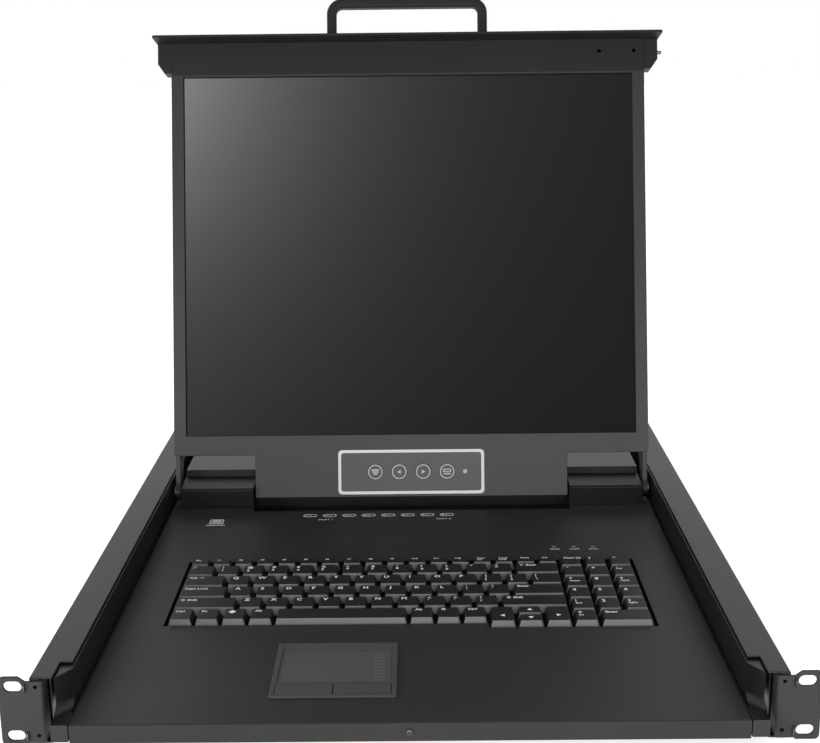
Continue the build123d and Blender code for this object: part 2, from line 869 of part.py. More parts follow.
with BuildPart() as touch_frame:
    with BuildSketch(Plane.XY.offset(deck_z)) as flange:
        with Locations(((touch_left + touch_right) / 2, (touch_front + touch_back) / 2)):
            RectangleRounded(touch_width, touch_depth, touch_shelf)
    extrude(amount=touch_rise)
    chamfer(touch_frame.faces().sort_by(Axis.Z)[-1].edges(), length=touch_rise * 0.4)
    with BuildSketch(Plane.XY.offset(touch_bottom)):
        with Locations((sum(touch_cut) / 2, sum(touch_cut_y) / 2)):
            Rectangle(
                touch_cut[1] - touch_cut[0] - running_clear,
                touch_cut_y[1] - touch_cut_y[0] - running_clear,
            )
    extrude(amount=deck_z - touch_bottom)
    block(pad_x, pad_y, (touch_pad_top - touch_pad_sheet, touch_top), mode=Mode.SUBTRACT)
    with BuildSketch(Plane.YZ.offset(pad_x[0])):
        with BuildLine():
            Polyline(
                (pad_y[1], touch_pad_top),
                (pad_y[1] + touch_bevel, touch_top),
                (pad_y[1], touch_top),
                close=True,
            )
        make_face()
    extrude(amount=pad_x[1] - pad_x[0], mode=Mode.SUBTRACT)
    block(button_x, button_y, (touch_bottom, touch_top), mode=Mode.SUBTRACT)
    block((button_x[0] + touch_hollow_side, button_x[1] - touch_hollow_side),
          (button_y[1] + touch_hollow_front, pad_y[1] - touch_hollow_rear),
          (touch_bottom, touch_pad_top - touch_pad_sheet - touch_shelf / 2), mode=Mode.SUBTRACT)
save(touch_frame.part, "touchpad_frame")

with BuildPart() as touch_pad:
    clear = running_clear
    block((pad_x[0] + clear, pad_x[1] - clear), (pad_y[0] + clear, pad_y[1] - clear),
          (touch_pad_top - touch_pad_sheet, touch_pad_top))
save(touch_pad.part, "touchpad_surface")

with BuildPart() as touch_board:
    block(
        (touch_left + touch_rim, touch_right - touch_rim),
        (touch_front + touch_rim, touch_back - touch_rim),
        (touch_bottom - board_sheet, touch_bottom),
    )
save(touch_board.part, "touchpad_board")


def touch_button(x):
    """Click button between the frame's bars, standing on the touchpad board's switch."""
    block(x, (button_y[0] + stem_clear, button_y[1] - stem_clear),
          (touch_bottom + touch_button_travel + running_clear, touch_top))


with BuildPart() as left_click:
    touch_button((button_x[0] + stem_clear, button_split - stem_clear))
save(left_click.part, "touchpad_button_left")

with BuildPart() as right_click:
    touch_button((button_split + stem_clear, button_x[1] - stem_clear))
save(right_click.part, "touchpad_button_right")

# Hinges: a friction barrel on a foot inside each hinge cover, and a shaft keyed to the display arm

arm_outer = display_half - arm_side_gap
arm_inner = arm_outer - arm_width
barrel_inner = hinge_block_inner + barrel_inset
hinge_rear = box_front - hinge_block_gap
cover_top = base_z + hinge_block_top
shaft_bore = shaft_radius + running_clear

with BuildPart() as hinge_cover:
    block((hinge_block_inner, hinge_block_outer), (hinge_block_front, hinge_rear), (deck_rear_z, cover_top))
    front_edges = hinge_cover.edges().filter_by(Axis.X).group_by(Axis.Z)[-1]
    fillet(front_edges.sort_by(Axis.Y)[0], radius=hinge_block_corner)
    block(
        (hinge_block_inner + hinge_block_sheet, hinge_block_outer - hinge_block_sheet),
        (hinge_block_front + hinge_block_sheet, hinge_rear - hinge_block_sheet),
        (deck_rear_z, cover_top - hinge_block_sheet),
        mode=Mode.SUBTRACT,
    )
    with BuildSketch(Plane.YZ.offset(hinge_block_outer)):
        with Locations((hinge_y, axis_z)):
            Circle(shaft_bore)
    extrude(amount=-hinge_block_sheet, mode=Mode.SUBTRACT)
save_pair(hinge_cover.part, "hinge_cover")

with BuildPart() as barrel:
    foot_half = barrel_radius + barrel_foot_lap
    with BuildSketch(Plane.YZ.offset(barrel_inner)):
        with Locations((hinge_y, axis_z)):
            Circle(barrel_radius)
        with Locations((hinge_y, (axis_z + deck_rear_z) / 2)):
            Rectangle(barrel_neck, axis_z - deck_rear_z)
        with Locations((hinge_y, deck_rear_z + hinge_block_sheet)):
            Rectangle(2 * foot_half, 2 * hinge_block_sheet)
        with Locations((hinge_y, axis_z)):
            Circle(shaft_bore, mode=Mode.SUBTRACT)
    extrude(amount=barrel_length)
save_both(barrel.part, "hinge_barrels")

with BuildPart() as shaft:
    with BuildSketch(Plane.YZ.offset(barrel_inner)):
        with Locations((hinge_y, axis_z)):
            Circle(shaft_radius)
    extrude(amount=arm_outer - barrel_inner)
    with BuildSketch(Plane.YZ.offset(arm_outer)):
        with Locations((hinge_y, axis_z)):
            Circle(shaft_head_radius)
    extrude(amount=arm_side_gap)
save_both(shaft.part, "hinge_shafts")

# Display housing: a folded steel pan with two arms that reach down to the hinge axis

def display_outline(plane, inset):
    """Outline of the open display: full width above, a narrower chin between the hinges below."""
    half = display_half - inset
    chin = chin_half - inset
    points = (
        (-half, side_cut_v + inset),
        (-chin, side_cut_v + inset),
        (-chin, inset - chin_below_axis),
        (chin, inset - chin_below_axis),
        (chin, side_cut_v + inset),
        (half, side_cut_v + inset),
        (half, bar_v - inset),
        (-half, bar_v - inset),
    )
    return outline_on(plane, points)


def side_plane_at(x):
    """Plane across the display at a distance x: sketch x towards the user, sketch y up the screen."""
    return Plane(origin=(x, hinge_y, axis_z), x_dir=display_plane(0).z_dir, z_dir=(-1, 0, 0))


bezel_w = face_w - bezel_sheet
inner_back_w = back_w + shell_sheet
module_back_w = bezel_w - glass_sheet - module_depth
display_normal = Axis(origin=(0, 0, 0), direction=display_plane(0).z_dir)
screen_half = screen_width / 2
stud_spots = [(side * (screen_half - stud_inset), v) for side in (-1, 1)
              for v in (screen_bottom_v + stud_inset, screen_top_v - stud_inset)]

with BuildPart() as arm:
    with BuildSketch(side_plane_at(arm_inner)):
        with BuildLine():
            Polyline(
                (back_w, side_cut_v + shell_sheet),
                (back_w, side_cut_v - lug_radius),
                (-lug_radius, 0),
                (lug_radius, 0),
                (bezel_w, lug_radius),
                (bezel_w, side_cut_v + shell_sheet),
                close=True,
            )
        make_face()
        Circle(lug_radius)
        Circle(shaft_bore, mode=Mode.SUBTRACT)
    extrude(amount=-arm_width)

with BuildPart() as shell:
    extrude(display_outline(display_plane(back_w), 0), amount=bezel_w - back_w)
    back_edges = shell.faces().sort_by(display_normal)[0].edges()
    chamfer(back_edges, length=shell_sheet * 0.7)
    extrude(display_outline(display_plane(inner_back_w), shell_sheet), amount=bezel_w - inner_back_w,
            mode=Mode.SUBTRACT)
    with BuildSketch(display_plane(inner_back_w)) as studs:
        with Locations(*stud_spots):
            Circle(stud_radius)
    extrude(studs.sketch, amount=module_back_w - inner_back_w)
    add(arm.part)
    mirror(arm.part, about=Plane.YZ)
save(shell.part, "display_shell")

# Bezel: front frame with the screen opening and the holes of the control panel

panel_light_spot = (panel_light_x, panel_centre)
button_spots = [((i - 1.5) * button_pitch, panel_centre) for i in range(4)]
boss_x = panel_width / 2 - 2 * boss_radius
boss_v = panel_height / 2 - 2 * boss_radius
boss_spots = [(side * boss_x, panel_centre + end * boss_v) for side in (-1, 1) for end in (-1, 1)]
board_front_w = bezel_w - board_sheet

with BuildPart() as bezel:
    extrude(display_outline(display_plane(bezel_w), 0), amount=bezel_sheet)
    display_block((-screen_half, screen_half), (screen_bottom_v, screen_top_v), (bezel_w, face_w),
                  mode=Mode.SUBTRACT)
    with BuildSketch(display_plane(board_front_w)) as bosses:
        with Locations(*boss_spots):
            Circle(boss_radius)
    extrude(bosses.sketch, amount=bezel_w - board_front_w)
    with BuildSketch(display_plane(bezel_w)) as holes:
        with Locations(*button_spots):
            Circle(button_radius + button_clear)
        with Locations(panel_light_spot):
            Circle(panel_light_radius + running_clear)
    extrude(holes.sketch, amount=bezel_sheet, mode=Mode.SUBTRACT)
save(bezel.part, "display_bezel")

with BuildPart() as glass:
    display_block((-screen_half - glass_lap, screen_half + glass_lap),
                  (screen_bottom_v - glass_lap, screen_top_v + top_strip / 3),
                  (bezel_w - glass_sheet, bezel_w))
save(glass.part, "screen_glass")

with BuildPart() as module:
    display_block((-screen_half - module_lap, screen_half + module_lap),
                  (screen_bottom_v - module_lap, screen_top_v + top_strip / 3),
                  (module_back_w, bezel_w - glass_sheet))
save(module.part, "panel_module")

# Control panel: overlay, status light, four buttons and their board

with BuildPart() as overlay:
    with BuildSketch(display_plane(face_w)):
        with Locations((0, panel_centre)):
            RectangleRounded(panel_width, panel_height, boss_radius)
        with Locations(*button_spots):
            Circle(button_radius + button_clear, mode=Mode.SUBTRACT)
        with Locations(panel_light_spot):
            Circle(panel_light_radius + running_clear, mode=Mode.SUBTRACT)
    extrude(amount=panel_rise)
save(overlay.part, "control_overlay")

with BuildPart() as control_board:
    with BuildSketch(display_plane(board_front_w - board_sheet)):
        with Locations((0, panel_centre)):
            Rectangle(panel_width, panel_height)
    extrude(amount=board_sheet)
save(control_board.part, "control_board")

with BuildPart() as panel_light:
    with BuildSketch(display_plane(board_front_w)):
        with Locations(panel_light_spot):
            Circle(panel_light_radius)
    extrude(amount=face_w + panel_rise - board_front_w)
save(panel_light.part, "display_light")

button_back_w = board_front_w + button_travel + running_clear

for name, spot in zip(("menu", "down", "up", "auto"), button_spots):
    with BuildPart() as button:
        with BuildSketch(display_plane(button_back_w)):
            with Locations(spot):
                Circle(button_radius)
        extrude(amount=face_w + panel_rise - button_back_w)
        chamfer(button.faces().sort_by(display_normal)[-1].edges(), length=panel_rise * 0.7)
        with BuildSketch(display_plane(button_back_w)) as flange:
            with Locations(spot):
                Circle(button_radius + button_flange)
        extrude(flange.sketch, amount=bezel_w - running_clear - button_back_w)
    save(button.part, f"{name}_button")

# Front bar: channel along the top of the display, front plate, end blocks, latch pin and handle

plate_front_w = face_w + plate_drop
block_margin = (display_thickness - latch_block_depth) / 2
block_outer = display_half + latch_block_width
block_v = plate_v - latch_block_height
pin_v = plate_v - latch_pin_drop
pin_w = (back_w + face_w) / 2
foot_v = plate_v + plate_sheet
handle_w = (back_w + plate_front_w) / 2
leg_x = (handle_width - handle_bar) / 2


def upward_plane(v, w):
    """Plane across the display at a height v up the screen, facing up the screen."""
    level = display_plane(w)
    return Plane(origin=level.origin + level.y_dir * v, x_dir=(1, 0, 0), z_dir=level.y_dir)


with BuildPart() as bar:
    bar_section = (
        (back_w, bar_v),
        (face_w, bar_v),
        (face_w, plate_v),
        (face_w - bar_sheet, plate_v),
        (face_w - bar_sheet, bar_v + bar_sheet),
        (back_w + bar_sheet, bar_v + bar_sheet),
        (back_w + bar_sheet, plate_v),
        (back_w, plate_v),
    )
    extrude(outline_on(side_plane_at(-display_half), bar_section), amount=-display_width)
    with BuildSketch(display_plane(face_w)) as bar_holes:
        with Locations(*[(x, plate_v - bar_hole_drop) for x in bar_hole_x]):
            Circle(bar_hole_radius)
    extrude(bar_holes.sketch, amount=-bar_sheet, mode=Mode.SUBTRACT)
save(bar.part, "front_bar")

with BuildPart() as front_plate:
    display_block((-plate_width / 2, plate_width / 2), (plate_v, foot_v), (back_w, plate_front_w))
    corners = front_plate.edges().filter_by(lambda edge: abs(edge.length - plate_sheet) < 0.01)
    fillet(corners, radius=plate_sheet)
    with BuildSketch(upward_plane(plate_v, handle_w)) as tenon_holes:
        with Locations((-leg_x, 0), (leg_x, 0)):
            Circle(handle_tenon_radius + running_clear)
    extrude(tenon_holes.sketch, amount=plate_sheet, mode=Mode.SUBTRACT)
save(front_plate.part, "front_plate")

with BuildPart() as handle:
    with BuildSketch(display_plane(handle_w - handle_depth / 2)):
        with BuildLine():
            top_v = foot_v + handle_height
            outside = handle_width / 2
            inside = outside - handle_bar
            outer_edge = FilletPolyline(
                (-outside, foot_v), (-outside, top_v), (outside, top_v), (outside, foot_v),
                radius=handle_corner,
            )
            inside_v = top_v - handle_bar
            inner_edge = FilletPolyline(
                (-inside, foot_v), (-inside, inside_v), (inside, inside_v), (inside, foot_v),
                radius=handle_corner - handle_bar,
            )
            Line(outer_edge @ 0, inner_edge @ 0)
            Line(outer_edge @ 1, inner_edge @ 1)
        make_face()
    extrude(amount=handle_depth)
    rim = handle.faces().filter_by(display_normal).edges()
    fillet([edge for edge in rim if edge.center().Z > min(e.center().Z for e in rim) + handle_bar / 4],
           radius=handle_edge)
    with BuildSketch(upward_plane(plate_v, handle_w)) as tenons:
        with Locations((-leg_x, 0), (leg_x, 0)):
            Circle(handle_tenon_radius)
    extrude(tenons.sketch, amount=plate_sheet)
save(handle.part, "pull_handle")

with BuildPart() as end_blocks:
    with BuildSketch(display_plane(back_w + block_margin)):
        with BuildLine():
            Polyline(
                (display_half, block_v),
                (block_outer - latch_block_chamfer[0], block_v),
                (block_outer, block_v + latch_block_chamfer[1]),
                (block_outer, plate_v),
                (display_half, plate_v),
                close=True,
            )
        make_face()
        mirror(about=Plane.YZ)
    extrude(amount=latch_block_depth)
    with BuildSketch(side_plane_at(block_outer)) as pin_bore:
        with Locations((pin_w, pin_v)):
            Circle(latch_pin_radius + running_clear)
    extrude(pin_bore.sketch, amount=latch_pin_length - latch_pin_out + latch_travel, mode=Mode.SUBTRACT)
save(end_blocks.part, "end_blocks")

with BuildPart() as latch_pin:
    with BuildSketch(side_plane_at(block_outer + latch_pin_out)):
        with Locations((pin_w, pin_v)):
            Circle(latch_pin_radius)
    extrude(amount=latch_pin_length)
    chamfer(latch_pin.faces().sort_by(Axis.X)[-1].edges(), length=latch_pin_radius * 0.4)
save(latch_pin.part, "latch_pin")

# Electronics box: folded cover and rear panel standing on the rear of the drawer pan

box_top_z = base_z + box_top
panel_front = box_rear - box_sheet
socket_z = base_z + port_height
board_bottom = pan_z + board_rise
board_top = board_bottom + board_sheet
switch_x = inlet_x - (inlet_size[0] + rocker_size[0]) / 2 - rocker_wall
housing_x = (switch_x - rocker_size[0] / 2 - rocker_wall, inlet_x + inlet_size[0] / 2)
housing_z = (socket_z - inlet_size[1] / 2, socket_z + inlet_size[1] / 2)

with BuildPart() as box_cover:
    block((-box_half, box_half), (box_front, panel_front), (pan_z, box_top_z))
    fillet(box_cover.edges().filter_by(Axis.Y).group_by(Axis.Z)[-1], radius=box_sheet)
    block((-box_half + box_sheet, box_half - box_sheet), (box_front + box_sheet, panel_front),
          (pan_z, box_top_z - box_sheet), mode=Mode.SUBTRACT)
save(box_cover.part, "box_cover")

with BuildPart() as rear_panel:
    block((-box_half, box_half), (panel_front, box_rear), (pan_z, box_top_z))
    with BuildSketch(facing(panel_front)) as cut_outs:
        with Locations(*[(x, socket_z) for x in port_x]):
            Rectangle(port_shell[0] + 2 * running_clear, port_shell[1] + 2 * running_clear)
        with Locations((sum(housing_x) / 2, socket_z)):
            Rectangle(housing_x[1] - housing_x[0] + 2 * running_clear, inlet_size[1] + 2 * running_clear)
    extrude(cut_outs.sketch, amount=-box_sheet, mode=Mode.SUBTRACT)
save(rear_panel.part, "rear_panel")

with BuildPart() as kvm_board:
    block((port_left - port_pitch, port_x[-1] + port_pitch), (panel_front - board_depth, panel_front),
          (board_bottom, board_top))
save(kvm_board.part, "kvm_board")

with BuildPart() as sockets:
    for x in port_x:
        block((x - port_body[0] / 2, x + port_body[0] / 2), (panel_front - port_body[1], panel_front),
              (board_top, socket_z + port_shell[1]))
        with BuildSketch(facing(panel_front)) as shell_outline:
            with Locations((x, socket_z)):
                Trapezoid(port_shell[0], port_shell[1], 80)
        extrude(shell_outline.sketch, amount=-(box_sheet + port_reach))
        with BuildSketch(facing(box_rear)) as jack_posts:
            with Locations((x - jack_spread, socket_z), (x + jack_spread, socket_z)):
                RegularPolygon(jack_radius, 6)
        extrude(jack_posts.sketch, amount=-jack_length)
save(sockets.part, "port_sockets")

# Power: supply block, combined inlet and switch housing with its three pins, and the rocker

inlet_face = box_rear + inlet_flange
pin_length = inlet_depth - inlet_wall_back
outer_pins = [(inlet_x + side * pin_spread, socket_z - pin_offset) for side in (-1, 1)]
pin_spots = outer_pins + [(inlet_x, socket_z + pin_offset)]
supply_rear = panel_front - inlet_depth - 2 * inlet_wall_back
pivot_y = box_rear - rocker_gap
cavity_x = (inlet_x - inlet_cavity[0] / 2, inlet_x + inlet_cavity[0] / 2)
cavity_z = (socket_z - inlet_cavity[1] / 2, socket_z + inlet_cavity[1] / 2)
pocket_half = (rocker_size[0] / 2 + rocker_gap, rocker_size[1] / 2 + rocker_gap)
trunnion_half = pocket_half[0] + rocker_wall / 2

with BuildPart() as power_supply:
    block((housing_x[0], box_half - 2 * box_sheet), (supply_front, supply_rear),
          (pan_z, pan_z + supply_height))
    chamfer(power_supply.faces().sort_by(Axis.Z)[-1].edges(), length=box_sheet)
save(power_supply.part, "power_supply")

with BuildPart() as inlet:
    block(housing_x, (box_rear - inlet_depth - inlet_wall_back, box_rear), housing_z)
    block((housing_x[0] - inlet_flange, housing_x[1] + inlet_flange), (box_rear, inlet_face),
          (housing_z[0] - inlet_flange, housing_z[1] + inlet_flange))
    chamfer(inlet.faces().sort_by(Axis.Y)[-1].edges(), length=inlet_flange * 0.4)
    block(cavity_x, (inlet_face - inlet_depth, inlet_face), cavity_z, mode=Mode.SUBTRACT)
    with BuildSketch(facing(inlet_face - inlet_depth)) as blades:
        with Locations(*pin_spots):
            Rectangle(*blade_size)
    extrude(blades.sketch, amount=-pin_length)
    block((switch_x - pocket_half[0], switch_x + pocket_half[0]), (inlet_face - inlet_depth, inlet_face),
          (socket_z - pocket_half[1], socket_z + pocket_half[1]), mode=Mode.SUBTRACT)
    with BuildSketch(Plane.YZ.offset(switch_x - trunnion_half - running_clear)) as bearing:
        with Locations((pivot_y, socket_z)):
            Circle(rocker_pivot + running_clear)
    extrude(bearing.sketch, amount=2 * (trunnion_half + running_clear), mode=Mode.SUBTRACT)
save(inlet.part, "power_inlet")

with BuildPart() as rocker:
    with BuildSketch(Plane.YZ.offset(switch_x - rocker_size[0] / 2)) as rocker_section:
        with BuildLine():
            half = rocker_size[1] / 2
            Polyline(
                (-rocker_root, -half + rocker_side_taper),
                (rocker_crest, -half),
                (rocker_crest / 2, 0),
                (rocker_crest, half),
                (-rocker_root, half - rocker_side_taper),
                close=True,
            )
        make_face()
    extrude(rocker_section.sketch.moved(Location((0, pivot_y, socket_z), (rocker_tilt, 0, 0))),
            amount=rocker_size[0], dir=(1, 0, 0))
    with BuildSketch(Plane.YZ.offset(switch_x - trunnion_half)) as trunnions:
        with Locations((pivot_y, socket_z)):
            Circle(rocker_pivot)
    extrude(trunnions.sketch, amount=2 * trunnion_half)
save(rocker.part, "power_rocker")
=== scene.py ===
"""Finishes, fine detail and studio for a rack console drawer with keyboard, touchpad and fold-up display."""

import json
import logging
import math
from dataclasses import dataclass, field
from enum import Enum
from typing import Callable, Iterable, Sequence

import bmesh
import bpy
from mathutils import Euler, Matrix, Vector

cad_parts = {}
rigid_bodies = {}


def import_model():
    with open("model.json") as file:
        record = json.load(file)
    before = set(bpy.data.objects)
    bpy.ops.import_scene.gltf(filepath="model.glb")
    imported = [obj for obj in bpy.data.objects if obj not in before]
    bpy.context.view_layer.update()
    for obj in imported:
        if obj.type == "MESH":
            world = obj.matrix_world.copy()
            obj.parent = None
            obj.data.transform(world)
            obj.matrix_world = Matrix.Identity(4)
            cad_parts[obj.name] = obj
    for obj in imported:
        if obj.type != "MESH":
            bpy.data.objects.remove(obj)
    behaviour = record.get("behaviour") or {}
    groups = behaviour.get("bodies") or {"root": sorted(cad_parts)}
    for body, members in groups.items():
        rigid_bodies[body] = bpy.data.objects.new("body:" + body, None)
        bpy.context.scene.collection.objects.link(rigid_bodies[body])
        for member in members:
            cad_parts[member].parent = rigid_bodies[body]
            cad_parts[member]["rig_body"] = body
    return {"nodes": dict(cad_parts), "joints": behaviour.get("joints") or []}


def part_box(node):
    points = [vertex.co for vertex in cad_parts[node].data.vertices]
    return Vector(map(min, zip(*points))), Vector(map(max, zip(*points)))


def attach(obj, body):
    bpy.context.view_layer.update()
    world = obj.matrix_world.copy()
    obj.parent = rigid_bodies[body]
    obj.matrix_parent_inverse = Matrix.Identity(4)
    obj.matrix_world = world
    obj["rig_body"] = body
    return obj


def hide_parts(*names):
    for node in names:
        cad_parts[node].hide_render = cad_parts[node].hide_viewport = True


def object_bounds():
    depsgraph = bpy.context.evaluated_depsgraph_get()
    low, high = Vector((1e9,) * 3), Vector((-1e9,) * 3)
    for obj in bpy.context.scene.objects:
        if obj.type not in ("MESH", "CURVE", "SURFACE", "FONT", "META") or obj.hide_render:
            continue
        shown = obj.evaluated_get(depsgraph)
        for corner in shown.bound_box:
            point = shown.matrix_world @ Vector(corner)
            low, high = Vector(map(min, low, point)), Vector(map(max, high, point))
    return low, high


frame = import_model()
CAD_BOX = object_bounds()

LOG = logging.getLogger("console_drawer")
MM = 0.001
MERGE = 1e-6
QUARTER_TURN = math.radians(90)
FULL_TURN = 2 * math.pi
Color = tuple[float, float, float]
Spot = tuple[float, float, float]


def shade(value: float, warmth: float = 0.0) -> Color:
    """Neutral paint colour of a given display brightness.

    Args:
        value: Brightness from 0 to 1 as a screen shows it.
        warmth: Share by which red is raised and blue is lowered.

    Returns:
        The linear red, green and blue.
    """
    linear = ((value + 0.055) / 1.055) ** 2.4 if value > 0.04045 else value / 12.92
    return (linear * (1 + warmth), linear, linear * (1 - warmth))


# Finishes


CLOUD_SPAN = (0.6, 1.4)
GRAIN_SPAN = (0.35, 0.65)
SHEEN_SPREAD = 0.06
LEAST_ROUGHNESS = 0.02
BUMP_STRENGTH = 0.7
BRUSHED_STRETCH = (1.0, 0.04, 1.0)
MOULDED_DEPTH = 0.012 * MM


class Grain(Enum):
    """Surface relief of a finish."""

    POWDER = "powder"
    MOULDED = "moulded"
    BRUSHED = "brushed"
    SMOOTH = "smooth"


@dataclass(frozen=True)
class Finish:
    """Paint, plating or plastic with its own grain, mottling and sheen."""

    name: str
    color: Color
    roughness: float = 0.5
    metallic: float = 0.0
    specular: float = 0.35
    grain: Grain = Grain.POWDER
    grain_pitch: float = 0.8 * MM
    grain_depth: float = 0.03 * MM
    mottling: float = 0.12
    cloud_scale: float = 14.0
    coat: float = 0.0
    glow: float = 0.0

    def material(self) -> bpy.types.Material:
        """Make the node material of this finish once, and give it again after that.

        Returns:
            The material.
        """
        found = bpy.data.materials.get(self.name)
        if found is not None:
            return found
        material = bpy.data.materials.new(self.name)
        material.use_nodes = True
        tree = material.node_tree
        shader = tree.nodes["Principled BSDF"]
        shader.inputs["Metallic"].default_value = self.metallic
        shader.inputs["Specular IOR Level"].default_value = self.specular
        shader.inputs["Coat Weight"].default_value = self.coat
        shader.inputs["Emission Color"].default_value = (1.0, 1.0, 1.0, 1.0)
        shader.inputs["Emission Strength"].default_value = self.glow
        place = tree.nodes.new("ShaderNodeTexCoord")
        mapping = tree.nodes.new("ShaderNodeMapping")
        if self.grain is Grain.BRUSHED:
            mapping.inputs["Scale"].default_value = BRUSHED_STRETCH
        tree.links.new(place.outputs["Object"], mapping.inputs["Vector"])
        fine = self._noise(tree, 1.0 / self.grain_pitch, 3.0)
        tree.links.new(mapping.outputs["Vector"], fine.inputs["Vector"])
        broad = self._noise(tree, self.cloud_scale, 4.0)
        tree.links.new(place.outputs["Object"], broad.inputs["Vector"])
        self._link_color(tree, shader, fine, broad)
        self._link_roughness(tree, shader, broad if self.grain is Grain.SMOOTH else fine)
        if self.grain is not Grain.SMOOTH:
            self._link_relief(tree, shader, fine)
        return material

    def _noise(self, tree: bpy.types.NodeTree, scale: float, detail: float) -> bpy.types.Node:
        """Add one noise pattern.

        Args:
            tree: Node tree of the material.
            scale: Waves per metre.
            detail: Octaves of finer noise.

        Returns:
            The noise node.
        """
        noise = tree.nodes.new("ShaderNodeTexNoise")
        noise.inputs["Scale"].default_value = scale
        noise.inputs["Detail"].default_value = detail
        return noise

    def _link_color(self, tree: bpy.types.NodeTree, shader: bpy.types.Node, fine: bpy.types.Node,
                    broad: bpy.types.Node) -> None:
        """Vary the colour by the fine grain and by broad, faint clouds.

        Args:
            tree: Node tree of the material.
            shader: The surface shader.
            fine: Noise of the grain.
            broad: Noise of the clouds.
        """
        total = tree.nodes.new("ShaderNodeMath")
        total.operation = "ADD"
        tree.links.new(fine.outputs["Fac"], total.inputs[0])
        tree.links.new(broad.outputs["Fac"], total.inputs[1])
        ramp = tree.nodes.new("ShaderNodeMapRange")
        ramp.inputs["From Min"].default_value, ramp.inputs["From Max"].default_value = CLOUD_SPAN
        tree.links.new(total.outputs[0], ramp.inputs["Value"])
        mix = tree.nodes.new("ShaderNodeMix")
        mix.data_type = "RGBA"
        mix.inputs["A"].default_value = (*[part * (1 - self.mottling) for part in self.color], 1.0)
        mix.inputs["B"].default_value = (*[part * (1 + self.mottling) for part in self.color], 1.0)
        tree.links.new(ramp.outputs["Result"], mix.inputs["Factor"])
        tree.links.new(mix.outputs["Result"], shader.inputs["Base Color"])

    def _link_roughness(self, tree: bpy.types.NodeTree, shader: bpy.types.Node, pattern: bpy.types.Node) -> None:
        """Vary the sheen a little by a pattern.

        Args:
            tree: Node tree of the material.
            shader: The surface shader.
            pattern: Noise that the sheen follows.
        """
        spread = tree.nodes.new("ShaderNodeMapRange")
        spread.inputs["From Min"].default_value, spread.inputs["From Max"].default_value = GRAIN_SPAN
        spread.inputs["To Min"].default_value = max(LEAST_ROUGHNESS, self.roughness - SHEEN_SPREAD)
        spread.inputs["To Max"].default_value = min(1.0, self.roughness + SHEEN_SPREAD)
        tree.links.new(pattern.outputs["Fac"], spread.inputs["Value"])
        tree.links.new(spread.outputs["Result"], shader.inputs["Roughness"])

    def _link_relief(self, tree: bpy.types.NodeTree, shader: bpy.types.Node, fine: bpy.types.Node) -> None:
        """Raise the grain by a bump.

        Args:
            tree: Node tree of the material.
            shader: The surface shader.
            fine: Noise of the grain.
        """
        bump = tree.nodes.new("ShaderNodeBump")
        bump.inputs["Strength"].default_value = BUMP_STRENGTH
        bump.inputs["Distance"].default_value = self.grain_depth
        tree.links.new(fine.outputs["Fac"], bump.inputs["Height"])
        tree.links.new(bump.outputs["Normal"], shader.inputs["Normal"])


def moulded(name: str, value: float, roughness: float, pitch: float = 0.35 * MM) -> Finish:
    """Fine-grained moulded plastic of one grey.

    Args:
        name: Name of the finish.
        value: Display brightness of the grey.
        roughness: Roughness of the surface.
        pitch: Size of the grain.

    Returns:
        The finish.
    """
    return Finish(name, shade(value), roughness, grain=Grain.MOULDED, grain_pitch=pitch, grain_depth=MOULDED_DEPTH)


RAIL_COAT = Finish("rail_powder_coat", shade(0.1), 0.5, specular=0.48)
EAR_COAT = Finish("ear_powder_coat", shade(0.23), 0.5, specular=0.16)
DRAWER_COAT = Finish("drawer_powder_coat", shade(0.182), 0.5, specular=0.24)
SIDE_COAT = Finish("drawer_side_coat", shade(0.055), 0.46, specular=0.62)
COVER_COAT = Finish("hinge_cover_coat", shade(0.055), 0.5, specular=0.26)
BEZEL_COAT = Finish("bezel_powder_coat", shade(0.07), 0.48, specular=0.62, grain_pitch=0.6 * MM)
BAR_COAT = Finish("front_bar_coat", shade(0.145), 0.48, specular=0.15, grain_pitch=0.6 * MM)
KEY_TOP = moulded("key_plastic", 0.11, 0.5)
# Lighter grey for the front faces of the key caps: a painted highlight where the front light falls, not a second
# plastic.
KEY_FRONT_HIGHLIGHT = moulded("key_skirt_plastic", 0.46, 0.4)
KEY_PRINT = Finish("key_legend_print", shade(0.98), 0.5, grain=Grain.SMOOTH, mottling=0.04)
MARK_PRINT = Finish("deck_print", shade(0.95), 0.55, grain=Grain.SMOOTH, mottling=0.05)
PANEL_PRINT = Finish("overlay_print", shade(0.88), 0.45, grain=Grain.SMOOTH, mottling=0.03)
RING_PRINT = Finish("button_print", shade(0.76), 0.45, grain=Grain.SMOOTH, mottling=0.03)
PAD_PLASTIC = moulded("touchpad_plastic", 0.27, 0.42)
PAD_SURFACE = moulded("touchpad_film", 0.33, 0.42, 0.2 * MM)
PAD_PRINT = Finish("touchpad_print", shade(0.42), 0.5, grain=Grain.SMOOTH, mottling=0.05)
ZINC = Finish("zinc_plate", shade(0.62), 0.35, 1.0, grain=Grain.BRUSHED, grain_pitch=0.5 * MM)
BLACK_ZINC = Finish("black_zinc", shade(0.36), 0.32, 1.0, grain=Grain.SMOOTH)
BRIGHT_STEEL = Finish("polished_steel", shade(0.85), 0.15, 1.0, grain=Grain.SMOOTH)
PIN_STEEL = Finish("pin_steel", shade(0.5), 0.4, 0.6, grain=Grain.SMOOTH)
BOARD_GREEN = Finish("solder_mask", (0.01, 0.09, 0.03), 0.4, grain=Grain.SMOOTH, coat=0.3)
MOULDING = moulded("black_moulding", 0.11, 0.42, 0.4 * MM)
PORT_PLASTIC = moulded("port_insert_plastic", 0.14, 0.4)
SCREEN_FILM = Finish("screen_film", shade(0.06, 0.04), 0.33, specular=0.32, grain=Grain.MOULDED,
                     grain_pitch=0.1 * MM, grain_depth=0.001 * MM, mottling=0.03)
